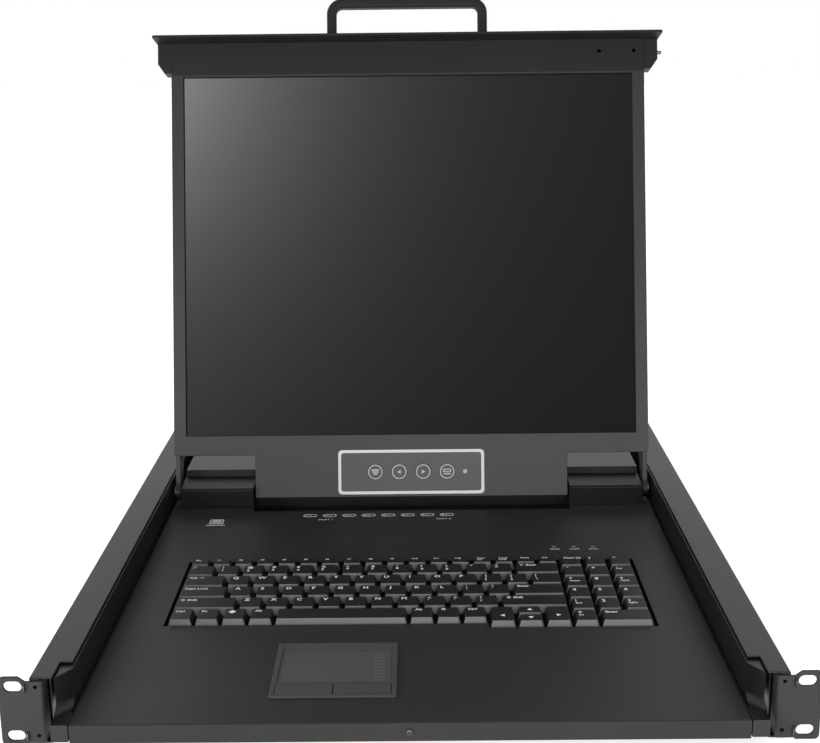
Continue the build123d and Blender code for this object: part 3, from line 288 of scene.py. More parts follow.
OVERLAY_FILM = Finish("overlay_film", shade(0.3), 0.42, specular=0.35, grain=Grain.MOULDED,
                      grain_pitch=0.3 * MM, grain_depth=0.005 * MM)
LENS = Finish("light_lens", shade(0.6), 0.2, specular=0.5, grain=Grain.SMOOTH)
FLOOR_PAPER = Finish("floor_paper", shade(0.97), 0.9, grain=Grain.SMOOTH, mottling=0.004, glow=0.66)


# Meshes


FLAT_TURN = math.radians(0.5)
EDGE_TURN = math.radians(40)
EDGE_CREASE = 50.0
NORMAL_WEIGHT = 100
FACING = 0.7
SIDEWAYS = 0.9
ROW_STEP = 4 * MM
LINE_SPACE = 0.8


def set_piece(piece: bpy.types.Object, body: str, slot: str, *nodes: str) -> bpy.types.Object:
    """Hand a finished piece to its body.

    Args:
        piece: The finished piece.
        body: Body that carries it.
        slot: Not used.
        nodes: CAD nodes that it stands for.

    Returns:
        The same piece.
    """
    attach(piece, body)
    if nodes:
        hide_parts(*nodes)
    LOG.info("%s: %d faces on %s", piece.name, len(piece.data.polygons), body)
    return piece


def linked(name: str, mesh: bpy.types.Mesh) -> bpy.types.Object:
    """Put a mesh into the scene as an object."""
    piece = bpy.data.objects.new(name, mesh)
    bpy.context.scene.collection.objects.link(piece)
    return piece


def evaluated_mesh(piece: bpy.types.Object) -> bpy.types.Mesh:
    """Return the plain mesh that an object's modifiers give."""
    view = bpy.context.evaluated_depsgraph_get()
    return bpy.data.meshes.new_from_object(piece.evaluated_get(view))


def crease(mesh: bpy.types.Mesh, angle: float = 32.0) -> None:
    """Shade a mesh smooth, with creases where its faces turn sharply.

    Args:
        mesh: Mesh to shade.
        angle: Turn in degrees past which an edge stays sharp.
    """
    mesh.shade_smooth()
    work = bmesh.new()
    work.from_mesh(mesh)
    limit = math.radians(angle)
    for edge in work.edges:
        if len(edge.link_faces) == 2:
            edge.smooth = edge.calc_face_angle(0.0) < limit
    work.to_mesh(mesh)
    work.free()


def weigh(piece: bpy.types.Object) -> None:
    """Let the large faces of a piece set the shading of the narrow ones between them.

    Args:
        piece: Piece whose mesh is shaded smooth, with its creases marked.
    """
    modifier = piece.modifiers.new("weigh", "WEIGHTED_NORMAL")
    modifier.keep_sharp = True
    modifier.weight = NORMAL_WEIGHT
    mesh = evaluated_mesh(piece)
    piece.modifiers.clear()
    piece.data = mesh


def merged_copy(node: str) -> bmesh.types.BMesh:
    """Join the loose triangles of a CAD node into whole faces.

    Args:
        node: Name of the CAD node.

    Returns:
        A copy of its surface, for the caller to free.
    """
    work = bmesh.new()
    work.from_mesh(frame["nodes"][node].data)
    bmesh.ops.remove_doubles(work, verts=work.verts, dist=MERGE)
    bmesh.ops.dissolve_limit(work, angle_limit=FLAT_TURN, verts=work.verts, edges=work.edges)
    return work


def solids_of(work: bmesh.types.BMesh) -> list[list[bmesh.types.BMVert]]:
    """Split a surface into its separate solids.

    Args:
        work: Joined surface of one or more solids.

    Returns:
        The corner points of each solid.
    """
    unseen = set(work.verts)
    solids = []
    for first in work.verts:
        if first not in unseen:
            continue
        unseen.remove(first)
        stack = [first]
        solid = []
        while stack:
            vert = stack.pop()
            solid.append(vert)
            for edge in vert.link_edges:
                other = edge.other_vert(vert)
                if other in unseen:
                    unseen.remove(other)
                    stack.append(other)
        solids.append(solid)
    return solids


def box_around(points: Iterable[Vector]) -> tuple[Vector, Vector]:
    """Return the lowest and highest corners around some points."""
    rows = list(zip(*points))
    return Vector([min(row) for row in rows]), Vector([max(row) for row in rows])


def solid_boxes(node: str) -> list[tuple[Vector, Vector]]:
    """Measure each solid of a CAD node, from the back row to the front and left to right.

    Args:
        node: Name of the CAD node.

    Returns:
        The lowest and highest corners of each.
    """
    work = merged_copy(node)
    boxes = [box_around([vert.co for vert in solid]) for solid in solids_of(work)]
    work.free()
    return sorted(boxes, key=lambda box: (-round((box[0].y + box[1].y) / ROW_STEP), box[0].x))


def local_box(node: str, place: Matrix) -> tuple[Vector, Vector]:
    """Return the corners of a CAD node measured in a tilted frame."""
    back = place.inverted()
    return box_around([back @ vert.co for vert in frame["nodes"][node].data.vertices])


def largest_faces(node: str, towards: Vector, count: int = 1) -> list[tuple[Vector, Vector]]:
    """Find the largest flat faces of a CAD node on one side.

    Args:
        node: Name of the CAD node.
        towards: Direction that the faces look in.
        count: Number of faces wanted.

    Returns:
        The middle and the normal of each face, the largest first.
    """
    work = merged_copy(node)
    work.normal_update()
    faces = [face for face in work.faces if face.normal.dot(towards) > FACING]
    faces.sort(key=lambda face: -face.calc_area())
    found = [(face.calc_center_median(), face.normal.copy()) for face in faces[:count]]
    work.free()
    return found


def paint(finish: Finish, *nodes: str) -> None:
    """Give CAD nodes a finish and leave their shapes."""
    for node in nodes:
        mesh = frame["nodes"][node].data
        mesh.materials.clear()
        mesh.materials.append(finish.material())
        LOG.info("%s: %s", node, finish.name)


def soften(node: str, finish: Finish, slot: str, width: float = 0.3 * MM, segments: int = 2) -> bpy.types.Object:
    """Copy a CAD node with its outer edges rounded, and let the copy stand for it.

    Inner corners stay sharp, so the rounding takes material away and never adds any.

    Args:
        node: Name of the CAD node.
        finish: Finish of the copy.
        slot: Material slot of the record.
        width: Width of the rounding.
        segments: Faces across the rounding.

    Returns:
        The new piece.
    """
    work = merged_copy(node)
    weight = work.edges.layers.float.new("bevel_weight_edge")
    for edge in work.edges:
        if edge.is_manifold and edge.is_convex and edge.calc_face_angle() > EDGE_TURN:
            edge[weight] = 1.0
    mesh = bpy.data.meshes.new(f"{node}_softened")
    work.to_mesh(mesh)
    work.free()
    piece = linked(f"{node}_edges", mesh)
    bevel = piece.modifiers.new("edges", "BEVEL")
    bevel.width = width
    bevel.segments = segments
    bevel.limit_method = "WEIGHT"
    bevel.use_clamp_overlap = False
    rounded = evaluated_mesh(piece)
    piece.modifiers.clear()
    piece.data = rounded
    rounded.materials.clear()
    rounded.materials.append(finish.material())
    crease(rounded, EDGE_CREASE)
    weigh(piece)
    return set_piece(piece, frame["nodes"][node]["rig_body"], slot, node)


class Shaper:
    """Collects closed shapes, each with its own finish, into the mesh of one piece."""

    def __init__(self, place: Matrix = Matrix.Identity(4)) -> None:
        """Start an empty piece.

        Args:
            place: Frame that the shapes are given in.
        """
        self.work = bmesh.new()
        self.finishes: list[Finish] = []
        self.place = place

    def index(self, finish: Finish) -> int:
        """Return the material index of a finish."""
        if finish not in self.finishes:
            self.finishes.append(finish)
        return self.finishes.index(finish)

    def skin(self, rings: Sequence[Sequence[Vector]], finish: Finish) -> list[bmesh.types.BMFace]:
        """Close a shell over rings of points, from its first ring to its last.

        Args:
            rings: Rings of equally many points, each anticlockwise as seen from the last.
            finish: Finish of the shell.

        Returns:
            Its side faces.
        """
        index = self.index(finish)
        sides = []
        loops = [[self.work.verts.new(self.place @ Vector(point)) for point in ring] for ring in rings]
        count = len(loops[0])
        for low, high in zip(loops, loops[1:]):
            for i in range(count):
                after = (i + 1) % count
                sides.append(self.work.faces.new((low[i], low[after], high[after], high[i])))
        ends = [self.work.faces.new(list(reversed(loops[0]))), self.work.faces.new(loops[-1])]
        for face in sides + ends:
            face.material_index = index
        return sides

    def prism(self, outline: Sequence[tuple[float, float]], low: float, high: float, finish: Finish) -> None:
        """Add an upright prism.

        Args:
            outline: Corners, anticlockwise from above.
            low: Height of its foot.
            high: Height of its top.
            finish: Finish of the prism.
        """
        self.skin([[Vector((x, y, z)) for x, y in outline] for z in (low, high)], finish)

    def block(self, low: Spot, high: Spot, finish: Finish) -> None:
        """Add a rectangular block between two corners."""
        outline = ((low[0], low[1]), (high[0], low[1]), (high[0], high[1]), (low[0], high[1]))
        self.prism(outline, low[2], high[2], finish)

    def band(self, outer: Sequence[tuple[float, float]], inner: Sequence[tuple[float, float]], low: float,
             high: float, finish: Finish) -> None:
        """Add a flat closed band between two outlines with as many corners.

        Args:
            outer: Outer corners, anticlockwise from above.
            inner: Inner corners in the same order.
            low: Height of its foot.
            high: Height of its top.
            finish: Finish of the band.
        """
        index = self.index(finish)
        rings = []
        for outline, z in ((outer, low), (outer, high), (inner, high), (inner, low)):
            rings.append([self.work.verts.new(self.place @ Vector((x, y, z))) for x, y in outline])
        count = len(outer)
        for ring, following in zip(rings, rings[1:] + rings[:1]):
            for i in range(count):
                after = (i + 1) % count
                face = self.work.faces.new((ring[i], ring[after], following[after], following[i]))
                face.material_index = index

    def mesh(self, mesh: bpy.types.Mesh, place: Matrix, finish: Finish | None = None) -> None:
        """Add a ready mesh at a place of this piece's frame.

        Args:
            mesh: Mesh to add. It is removed afterwards.
            place: Where it stands.
            finish: Finish of all its faces.
        """
        index = self.index(finish) if finish else 0
        first = len(self.work.faces)
        mesh.transform(self.place @ place)
        self.work.from_mesh(mesh)
        self.work.faces.ensure_lookup_table()
        for face in self.work.faces[first:]:
            face.material_index = index
        bpy.data.meshes.remove(mesh)

    def join(self, other: "Shaper") -> None:
        """Take in the shapes of another shaper, with their finishes.

        Args:
            other: The other shaper, which is emptied.
        """
        indices = [self.index(finish) for finish in other.finishes]
        mesh = bpy.data.meshes.new("part")
        other.work.to_mesh(mesh)
        other.work.free()
        first = len(self.work.faces)
        self.work.from_mesh(mesh)
        self.work.faces.ensure_lookup_table()
        for face in self.work.faces[first:]:
            face.material_index = indices[face.material_index]
        bpy.data.meshes.remove(mesh)

    def plain(self, name: str) -> bpy.types.Mesh:
        """Return the shapes as a bare mesh."""
        mesh = bpy.data.meshes.new(name)
        self.work.to_mesh(mesh)
        self.work.free()
        return mesh

    def piece(self, name: str, body: str, slot: str, *nodes: str, angle: float = 32.0) -> bpy.types.Object:
        """Finish the piece and hand it to its body.

        Args:
            name: Name of the piece.
            body: Body that carries it.
            slot: Material slot of the record.
            nodes: CAD nodes that it stands for.
            angle: Turn in degrees past which an edge stays sharp.

        Returns:
            The piece.
        """
        mesh = bpy.data.meshes.new(name)
        self.work.to_mesh(mesh)
        self.work.free()
        for finish in self.finishes:
            mesh.materials.append(finish.material())
        crease(mesh, angle)
        piece = linked(name, mesh)
        weigh(piece)
        return set_piece(piece, body, slot, *nodes)


def rounded_rectangle(low: Sequence[float], high: Sequence[float], radius: float,
                      steps: int = 4) -> list[tuple[float, float]]:
    """Outline of a rectangle with rounded corners.

    Args:
        low: Lowest corner.
        high: Highest corner.
        radius: Radius of the corners.
        steps: Straight pieces in each corner.

    Returns:
        Its corners, anticlockwise from the lower right.
    """
    outline = []
    corners = ((high[0], low[1], -90), (high[0], high[1], 0), (low[0], high[1], 90), (low[0], low[1], 180))
    for x, y, start in corners:
        centre_x = x - math.copysign(radius, x - (low[0] + high[0]) / 2)
        centre_y = y - math.copysign(radius, y - (low[1] + high[1]) / 2)
        for i in range(steps + 1):
            angle = math.radians(start + 90 * i / steps)
            outline.append((centre_x + radius * math.cos(angle), centre_y + radius * math.sin(angle)))
    return outline


@dataclass(frozen=True)
class Plate:
    """Rounded outline of a printed sign, measured from its middle."""

    half: float
    below: float
    above: float
    corner: float

    def outline(self, x: float, y: float) -> list[tuple[float, float]]:
        """Return its corners round a middle."""
        return rounded_rectangle((x - self.half, y - self.below), (x + self.half, y + self.above), self.corner)


def circle(centre: Sequence[float], radius: float, sides: int = 32) -> list[tuple[float, float]]:
    """Corners of a regular polygon, anticlockwise."""
    turns = [2 * math.pi * i / sides for i in range(sides)]
    return [(centre[0] + radius * math.cos(turn), centre[1] + radius * math.sin(turn)) for turn in turns]


def lettering(text: str, size: float, depth: float, bold: float = 0.0) -> bpy.types.Mesh:
    """Solid lettering that lies flat, its first baseline at the origin.

    Args:
        text: What it says.
        size: Size of the type.
        depth: Thickness of the print.
        bold: Growth of each stroke.

    Returns:
        The mesh of the letters.
    """
    curve = bpy.data.curves.new("lettering", "FONT")
    curve.body = text
    curve.size = size
    curve.extrude = depth / 2
    curve.offset = bold
    curve.resolution_u = 2
    curve.space_line = LINE_SPACE
    holder = linked("lettering", curve)
    mesh = evaluated_mesh(holder)
    bpy.data.objects.remove(holder)
    bpy.data.curves.remove(curve)
    return mesh


# Patterns


class PatternTree:
    """Geometry Nodes tree that sets one small piece on many spots."""

    def __init__(self, name: str) -> None:
        """Start a tree with the inputs that all patterns share.

        Args:
            name: Name of the tree.
        """
        self.tree = bpy.data.node_groups.new(name, "GeometryNodeTree")
        self.inputs: dict[str, str] = {}
        self._socket("Geometry", "NodeSocketGeometry")
        self._socket("Piece", "NodeSocketObject")
        self._socket("Turn", "NodeSocketVector")
        self._socket("Finish", "NodeSocketMaterial")
        self.extra_inputs()
        self.tree.interface.new_socket(name="Geometry", in_out="OUTPUT", socket_type="NodeSocketGeometry")
        self.source = self.tree.nodes.new("NodeGroupInput")
        self._build()

    def _socket(self, name: str, kind: str) -> None:
        """Add a named input."""
        item = self.tree.interface.new_socket(name=name, in_out="INPUT", socket_type=kind)
        self.inputs[name] = item.identifier

    def extra_inputs(self) -> None:
        """Add the inputs of one kind of pattern."""

    def spots(self) -> bpy.types.NodeSocket:
        """Return the geometry whose points carry the pieces."""
        return self.source.outputs["Geometry"]

    def spin(self) -> bpy.types.NodeSocket | None:
        """Return a turn of each piece about its own axis, if the pattern has one."""
        return None

    def node(self, kind: str, **links: bpy.types.NodeSocket) -> bpy.types.Node:
        """Add a node and link its inputs by name.

        Args:
            kind: Type of the node.
            links: Output socket for each input, with spaces in its name as underscores.

        Returns:
            The node.
        """
        made = self.tree.nodes.new(kind)
        for name, socket in links.items():
            self.tree.links.new(socket, made.inputs[name.replace("_", " ")])
        return made

    def _build(self) -> None:
        """Set the pieces, make them real and give them their finish."""
        info = self.node("GeometryNodeObjectInfo", Object=self.source.outputs["Piece"])
        turn = self.node("FunctionNodeEulerToRotation", Euler=self.source.outputs["Turn"]).outputs[0]
        spin = self.spin()
        if spin is not None:
            rotate = self.node("FunctionNodeRotateRotation", Rotation=turn, Rotate_By=spin)
            rotate.rotation_space = "LOCAL"
            turn = rotate.outputs[0]
        placed = self.node("GeometryNodeInstanceOnPoints", Points=self.spots(), Instance=info.outputs["Geometry"],
                           Rotation=turn)
        real = self.node("GeometryNodeRealizeInstances", Geometry=placed.outputs[0])
        finished = self.node("GeometryNodeSetMaterial", Geometry=real.outputs[0],
                             Material=self.source.outputs["Finish"])
        self.node("NodeGroupOutput", Geometry=finished.outputs[0])

    def grow(self, carrier: bpy.types.Mesh, piece: bpy.types.Mesh, finish: Finish, turn: Spot = (0.0, 0.0, 0.0),
             **values: float) -> bpy.types.Mesh:
        """Run the tree once.

        Args:
            carrier: Mesh whose vertices are the spots, where the pattern reads them.
            piece: Mesh of the piece that is set.
            finish: Finish of the pieces.
            turn: Turn of every piece, as Euler angles.
            values: Other inputs by name, with spaces as underscores.

        Returns:
            The plain mesh of the whole pattern.
        """
        template = bpy.data.objects.new("template", piece)
        holder = linked("pattern", carrier)
        modifier = holder.modifiers.new("pattern", "NODES")
        modifier.node_group = self.tree
        modifier[self.inputs["Piece"]] = template
        modifier[self.inputs["Turn"]] = turn
        modifier[self.inputs["Finish"]] = finish.material()
        for name, value in values.items():
            modifier[self.inputs[name.replace("_", " ")]] = value
        mesh = evaluated_mesh(holder)
        holder.modifiers.clear()
        bpy.data.objects.remove(holder)
        bpy.data.objects.remove(template)
        return mesh


class SpotTree(PatternTree):
    """Pattern that sets a piece on each vertex of its carrier, turned at random about its own axis."""

    def extra_inputs(self) -> None:
        """Add the largest turn and the seed of the turns."""
        self._socket("Most Spin", "NodeSocketFloat")
        self._socket("Seed", "NodeSocketInt")

    def spin(self) -> bpy.types.NodeSocket:
        """Return a random turn about the piece's own axis."""
        chance = self.node("FunctionNodeRandomValue", Seed=self.source.outputs["Seed"],
                           Max=self.source.outputs["Most Spin"])
        axis = self.node("ShaderNodeCombineXYZ", Z=chance.outputs[1])
        return self.node("FunctionNodeEulerToRotation", Euler=axis.outputs[0]).outputs[0]


class GridTree(PatternTree):
    """Pattern that sets a piece on each crossing of a grid in the plane."""

    def extra_inputs(self) -> None:
        """Add the counts and the reach of the grid."""
        self._socket("Columns", "NodeSocketInt")
        self._socket("Rows", "NodeSocketInt")
        self._socket("Width", "NodeSocketFloat")
        self._socket("Depth", "NodeSocketFloat")

    def spots(self) -> bpy.types.NodeSocket:
        """Return the crossings of the grid."""
        fields = self.source.outputs
        grid = self.node("GeometryNodeMeshGrid", Vertices_X=fields["Columns"], Vertices_Y=fields["Rows"],
                         Size_X=fields["Width"], Size_Y=fields["Depth"])
        return grid.outputs["Mesh"]


def points_mesh(points: Iterable[Vector]) -> bpy.types.Mesh:
    """Return a mesh that holds only points."""
    mesh = bpy.data.meshes.new("spots")
    mesh.from_pydata([tuple(point) for point in points], [], [])
    return mesh


def lathe(profile: Sequence[tuple[float, float]], sides: int) -> bpy.types.Mesh:
    """Turn a profile about the upright axis into a closed solid.

    Args:
        profile: Radius and height of each ring, from the foot to the top.
        sides: Faces round the solid.

    Returns:
        The mesh of the solid.
    """
    shaper = Shaper()
    shaper.skin([[Vector((*corner, z)) for corner in circle((0, 0), radius, sides)] for radius, z in profile],
                BLACK_ZINC)
    return shaper.plain("turned")


PAN_PROFILE = ((1.0, 0.0), (1.0, 0.35), (0.93, 0.62), (0.76, 0.85), (0.5, 0.97), (0.2, 1.0))


@dataclass
class PanScrew:
    """Pan head with a cross recess, its foot on the origin."""

    radius: float
    height: float
    recess: float = 0.6
    recess_width: float = 0.16
    recess_depth: float = 0.55
    sides: int = 28

    def mesh(self) -> bpy.types.Mesh:
        """Turn the head and cut its recess.

        Returns:
            The mesh of the head.
        """
        head = linked("head", lathe([(r * self.radius, z * self.height) for r, z in PAN_PROFILE], self.sides))
        cutter = Shaper()
        long, wide = self.recess * self.radius, self.recess_width * self.radius
        low, high = self.height * (1 - self.recess_depth), self.height * 2
        outline = [(long, -wide), (long, wide), (wide, wide), (wide, long), (-wide, long), (-wide, wide),
                   (-long, wide), (-long, -wide), (-wide, -wide), (-wide, -long), (wide, -long), (wide, -wide)]
        cutter.prism(outline, low, high, BLACK_ZINC)
        tool = linked("recess", cutter.plain("recess"))
        cut = head.modifiers.new("recess", "BOOLEAN")
        cut.object = tool
        cut.solver = "EXACT"
        result = evaluated_mesh(head)
        bpy.data.objects.remove(head)
        bpy.data.objects.remove(tool)
        crease(result)
        return result


# Chassis


@dataclass
class Chassis:
    """Rack ears, side rails, ties, rear brackets and the screws that join them."""

    edge: float = 0.35 * MM
    body: str = "chassis"
    small_head: PanScrew = field(default_factory=lambda: PanScrew(2.2 * MM, 1.2 * MM))
    large_head: PanScrew = field(default_factory=lambda: PanScrew(3.4 * MM, 1.85 * MM))
    seeds_per_metre: float = 1e4

    def build(self, screws: SpotTree) -> None:
        """Dress the sheet metal and set the screws.

        Args:
            screws: Pattern that sets the screw heads.
        """
        for side in ("left", "right"):
            soften(f"ear_{side}", EAR_COAT, "rack_ears", self.edge)
            soften(f"side_rail_{side}", RAIL_COAT, "rails", self.edge)
        soften("cross_ties", RAIL_COAT, "rails", self.edge)
        soften("rear_brackets", EAR_COAT, "rack_ears", self.edge)
        self._screws(screws)

    def _screws(self, screws: SpotTree) -> None:
        """Set a cross-recessed head on each screw of the chassis.

        Args:
            screws: Pattern that sets the screw heads.
        """
        shaper = Shaper()
        for low, high in solid_boxes("chassis_screws"):
            size = high - low
            middle = (low + high) / 2
            along_y = size.y > min(size.x, size.z) - MERGE and abs(size.x - size.z) < MERGE
            if along_y:
                head, foot, turn = self.small_head, self._ear_face(), (QUARTER_TURN, 0.0, 0.0)
                spot = Vector((middle.x, foot, middle.z))
            else:
                side = math.copysign(1.0, middle.x)
                head, turn = self.large_head, (0.0, side * QUARTER_TURN, 0.0)
                spot = Vector((side * self._bracket_face(), middle.y, middle.z))
            mesh = screws.grow(points_mesh([spot]), head.mesh(), BLACK_ZINC, turn, Most_Spin=FULL_TURN,
                               Seed=round(abs(spot.length) * self.seeds_per_metre))
            shaper.mesh(mesh, Matrix.Identity(4), BLACK_ZINC)
        shaper.piece("chassis_screw_heads", self.body, "screws", "chassis_screws")

    def _ear_face(self) -> float:
        """Depth of the front face of the ears."""
        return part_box("ear_left")[0][1]

    def _bracket_face(self) -> float:
        """Measure the half width over the brackets, behind the screw heads.

        Returns:
            The half width.
        """
        work = merged_copy("rear_brackets")
        work.normal_update()
        sides = [face for face in work.faces if abs(face.normal.x) > SIDEWAYS]
        reach = max(sides, key=lambda face: face.calc_area()).calc_center_median().x
        work.free()
        return abs(reach)


@dataclass
class Slides:
    """Telescopic slides with their ball cages."""

    edge: float = 0.2 * MM
    ball_sides: int = 20

    def build(self, spots: SpotTree) -> None:
        """Dress the channels, then put round balls in the cages.

        Args:
            spots: Pattern that sets the balls.
        """
        for node in ("slide_outers", "slide_middles", "slide_inners"):
            soften(node, ZINC, "slides", self.edge)
        for node in ("ball_cages_outer", "ball_cages_inner"):
            self._cage(node, spots)

    def _cage(self, node: str, spots: SpotTree) -> None:
        """Keep the cages of a node and make its balls round.

        Args:
            node: Name of the CAD node.
            spots: Pattern that sets the balls.
        """
        work = merged_copy(node)
        centres = []
        for solid in solids_of(work):
            low, high = box_around([vert.co for vert in solid])
            size = high - low
            # A long solid is the strip of a cage, and a short one is a ball.
            if size.y > 4 * size.z:
                continue
            if size.y < 2 * size.x + MERGE and size.y < 2 * size.z + MERGE:
                centres.append((low + high) / 2)
                radius = size.z / 2
                bmesh.ops.delete(work, geom=solid, context="VERTS")
        mesh = bpy.data.meshes.new(node)
        work.to_mesh(mesh)
        work.free()
        steps = self.ball_sides // 2
        arc = [(radius * math.sin(math.pi * i / steps), -radius * math.cos(math.pi * i / steps))
               for i in range(1, steps)]
        balls = spots.grow(points_mesh(centres), lathe(arc, self.ball_sides), BRIGHT_STEEL, Most_Spin=0.0, Seed=1)
        shaper = Shaper()
        shaper.mesh(mesh, Matrix.Identity(4), ZINC)
        shaper.mesh(balls, Matrix.Identity(4), BRIGHT_STEEL)
        shaper.piece(f"{node}_with_balls", frame["nodes"][node]["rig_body"], "slides", node)


# Drawer


@dataclass
class DrawerTray:
    """Drawer pan, side walls and keyboard deck with its printed marks."""

    edge: float = 0.35 * MM
    print_depth: float = 0.06 * MM
    lock_words: tuple[str, ...] = ("NUM", "CAPS", "SCRL")
    lock_size: float = 3.3 * MM
    lock_drop: float = 7.6 * MM
    level: float = 0.1 * MM
    number_size: float = 4.2 * MM
    number_shift: float = 3.2 * MM
    number_drop: float = 0.36
    pill_half: tuple[float, float] = (5.6 * MM, 2.9 * MM)
    pill_line: float = 0.75 * MM
    pill_roundness: float = 0.98
    end_words: tuple[str, str] = ("PORT 1", "PORT 8")
    end_size: float = 3.6 * MM
    end_shift: float = 11.0 * MM
    end_drop: float = 12.0 * MM
    icon_centre: tuple[float, float] = (-158.0 * MM, 311.5 * MM)
    icon_outer: Plate = Plate(5.6 * MM, 3.4 * MM, 6.2 * MM, 1.2 * MM)
    icon_inner: Plate = Plate(4.8 * MM, 2.6 * MM, 5.4 * MM, 0.6 * MM)
    icon_rows: int = 4
    icon_row_half: float = 3.8 * MM
    icon_row_drop: float = 1.4 * MM
    icon_row_pitch: float = 1.9 * MM
    icon_row_line: float = 1.0 * MM
    icon_base: tuple[float, float, float] = (7.6 * MM, 6.8 * MM, 5.6 * MM)
    screw_seed: int = 7

    def build(self, screws: SpotTree) -> None:
        """Dress the tray.

        Args:
            screws: Pattern that sets the screw heads.
        """
        for side in ("left", "right"):
            soften(f"drawer_side_{side}", SIDE_COAT, "drawer_steel", self.edge)
        soften("keyboard_deck", DRAWER_COAT, "deck", self.edge)
        paint(DRAWER_COAT, "drawer_pan")
        paint(LENS, "status_lights")
        self._lock_screw(screws)
        self._marks()

    def _lock_screw(self, screws: SpotTree) -> None:
        """Set the head of the screw in the front lip.

        Args:
            screws: Pattern that sets the screw head.
        """
        low, high = (Vector(corner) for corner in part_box("front_lock_screw"))
        middle = (low + high) / 2
        radius = (high.x - low.x) / 2
        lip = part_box("keyboard_deck")[0][1]
        head = PanScrew(radius, lip - low.y)
        mesh = screws.grow(points_mesh([Vector((middle.x, lip, middle.z))]), head.mesh(), BLACK_ZINC,
                           (QUARTER_TURN, 0.0, 0.0), Most_Spin=FULL_TURN, Seed=self.screw_seed)
        shaper = Shaper()
        shaper.mesh(mesh, Matrix.Identity(4), BLACK_ZINC)
        shaper.piece("lock_screw_head", "drawer", "screws", "front_lock_screw")

    def _marks(self) -> None:
        """Print the words, numbers and lines beside the lights."""
        boxes = solid_boxes("status_lights")
        top = max(high.z for _, high in boxes)
        ports = [box for box in boxes if box[1].z > top - self.level]
        locks = [box for box in boxes if box not in ports]
        shaper = Shaper()
        for word, (low, high) in zip(self.lock_words, locks):
            self._word(shaper, word, self.lock_size, ((low.x + high.x) / 2, high.y - self.lock_drop, high.z))
        for number, (low, high) in enumerate(ports, start=1):
            middle = (low + high) / 2
            self._pill(shaper, (middle.x, middle.y), top)
            self._word(shaper, str(number), self.number_size,
                       (middle.x - self.number_shift, middle.y - self.number_size * self.number_drop, top))
        for word, (low, high) in zip(self.end_words, (ports[0], ports[-2])):
            self._word(shaper, word, self.end_size, (high.x + self.end_shift, high.y - self.end_drop, top))
        self._icon(shaper, top)
        shaper.piece("deck_marks", "drawer", "deck")

    def _word(self, shaper: Shaper, text: str, size: float, spot: Spot) -> None:
        """Print a word, centred on a spot.

        Args:
            shaper: Piece that takes the print.
            text: What it says.
            size: Size of the type.
            spot: Middle of its baseline, on the deck.
        """
        mesh = lettering(text, size, self.print_depth)
        width = max(vert.co.x for vert in mesh.vertices)
        shaper.mesh(mesh, Matrix.Translation(Vector(spot) - Vector((width / 2, 0.0, 0.0))), MARK_PRINT)

    def _pill(self, shaper: Shaper, centre: tuple[float, float], top: float) -> None:
        """Print a long rounded outline round a port's number and light.

        Args:
            shaper: Piece that takes the print.
            centre: Middle of the outline.
            top: Height of the deck.
        """
        outlines = []
        for grow in (0.0, -self.pill_line):
            half_x, half_y = self.pill_half[0] + grow, self.pill_half[1] + grow
            outlines.append(rounded_rectangle((centre[0] - half_x, centre[1] - half_y),
                                              (centre[0] + half_x, centre[1] + half_y),
                                              half_y * self.pill_roundness))
        shaper.band(outlines[0], outlines[1], top - self.print_depth / 2, top + self.print_depth / 2, MARK_PRINT)

    def _icon(self, shaper: Shaper, top: float) -> None:
        """Print a small screen over a base line.

        Args:
            shaper: Piece that takes the print.
            top: Height of the deck.
        """
        x, y = self.icon_centre
        low, high = top - self.print_depth / 2, top + self.print_depth / 2
        shaper.band(self.icon_outer.outline(x, y), self.icon_inner.outline(x, y), low, high, MARK_PRINT)
        half = self.icon_row_half
        for row in range(self.icon_rows):
            line = y - self.icon_row_drop + row * self.icon_row_pitch
            shaper.block((x - half, line, low), (x + half, line + self.icon_row_line, high), MARK_PRINT)
        half, below, above = self.icon_base
        shaper.block((x - half, y - below, low), (x + half, y - above, high), MARK_PRINT)


# Keyboard

LEGENDS = {
    "function_keys": ["Esc", *[f"F{number}" for number in range(1, 13)], "Print\nScr", "Scroll\nLock", "Pause",
                      "Del"],
    "number_keys": ["~\n`", "!\n1", "@\n2", "#\n3", "$\n4", "%\n5", "^\n6", "&\n7", "*\n8", "(\n9", ")\n0", "_\n-",
                    "+\n=", "\u2190 Back"],
    "letter_keys": ["Tab \u21e5", *"QWERTYUIOP", "{\n[", "}\n]", "|\n\\", "Caps Lock", *"ASDFGHJKL", ":\n;",
                    "\"\n'", "Enter", "\u21e7 Shift", *"ZXCVBNM", "<\n,", ">\n.", "?\n/", "\u21e7 Shift"],
    "bottom_keys": ["Ctrl", "Fn", "\u25c6", "Alt", "Alt", "\u2261", "Ctrl"],
    "space_bar": [""],
    "number_pad_keys": ["Num Lk", "/", "*", "-", "+", ".\nDel", "7\nHome", "8", "9\nPgUp", "4", "5", "6",
                        "1\nEnd", "2", "3\nPgDn", "0\nIns", "Enter"],
}


# Share of the cap's height, share of the rim and share of the corner radius at each ring of a cap.
CAP_RINGS = ((0.0, 0.0, 2.0), (0.9, 0.0, 1.2), (0.97, 0.3, 1.1), (1.0, 1.0, 1.0))
ARROW_TAIL = 0.7


class Arrow(Enum):
    """Direction of an arrow mark, as its turn in degrees from pointing right."""

    RIGHT = 0
    UP = 90
    LEFT = 180
    DOWN = 270


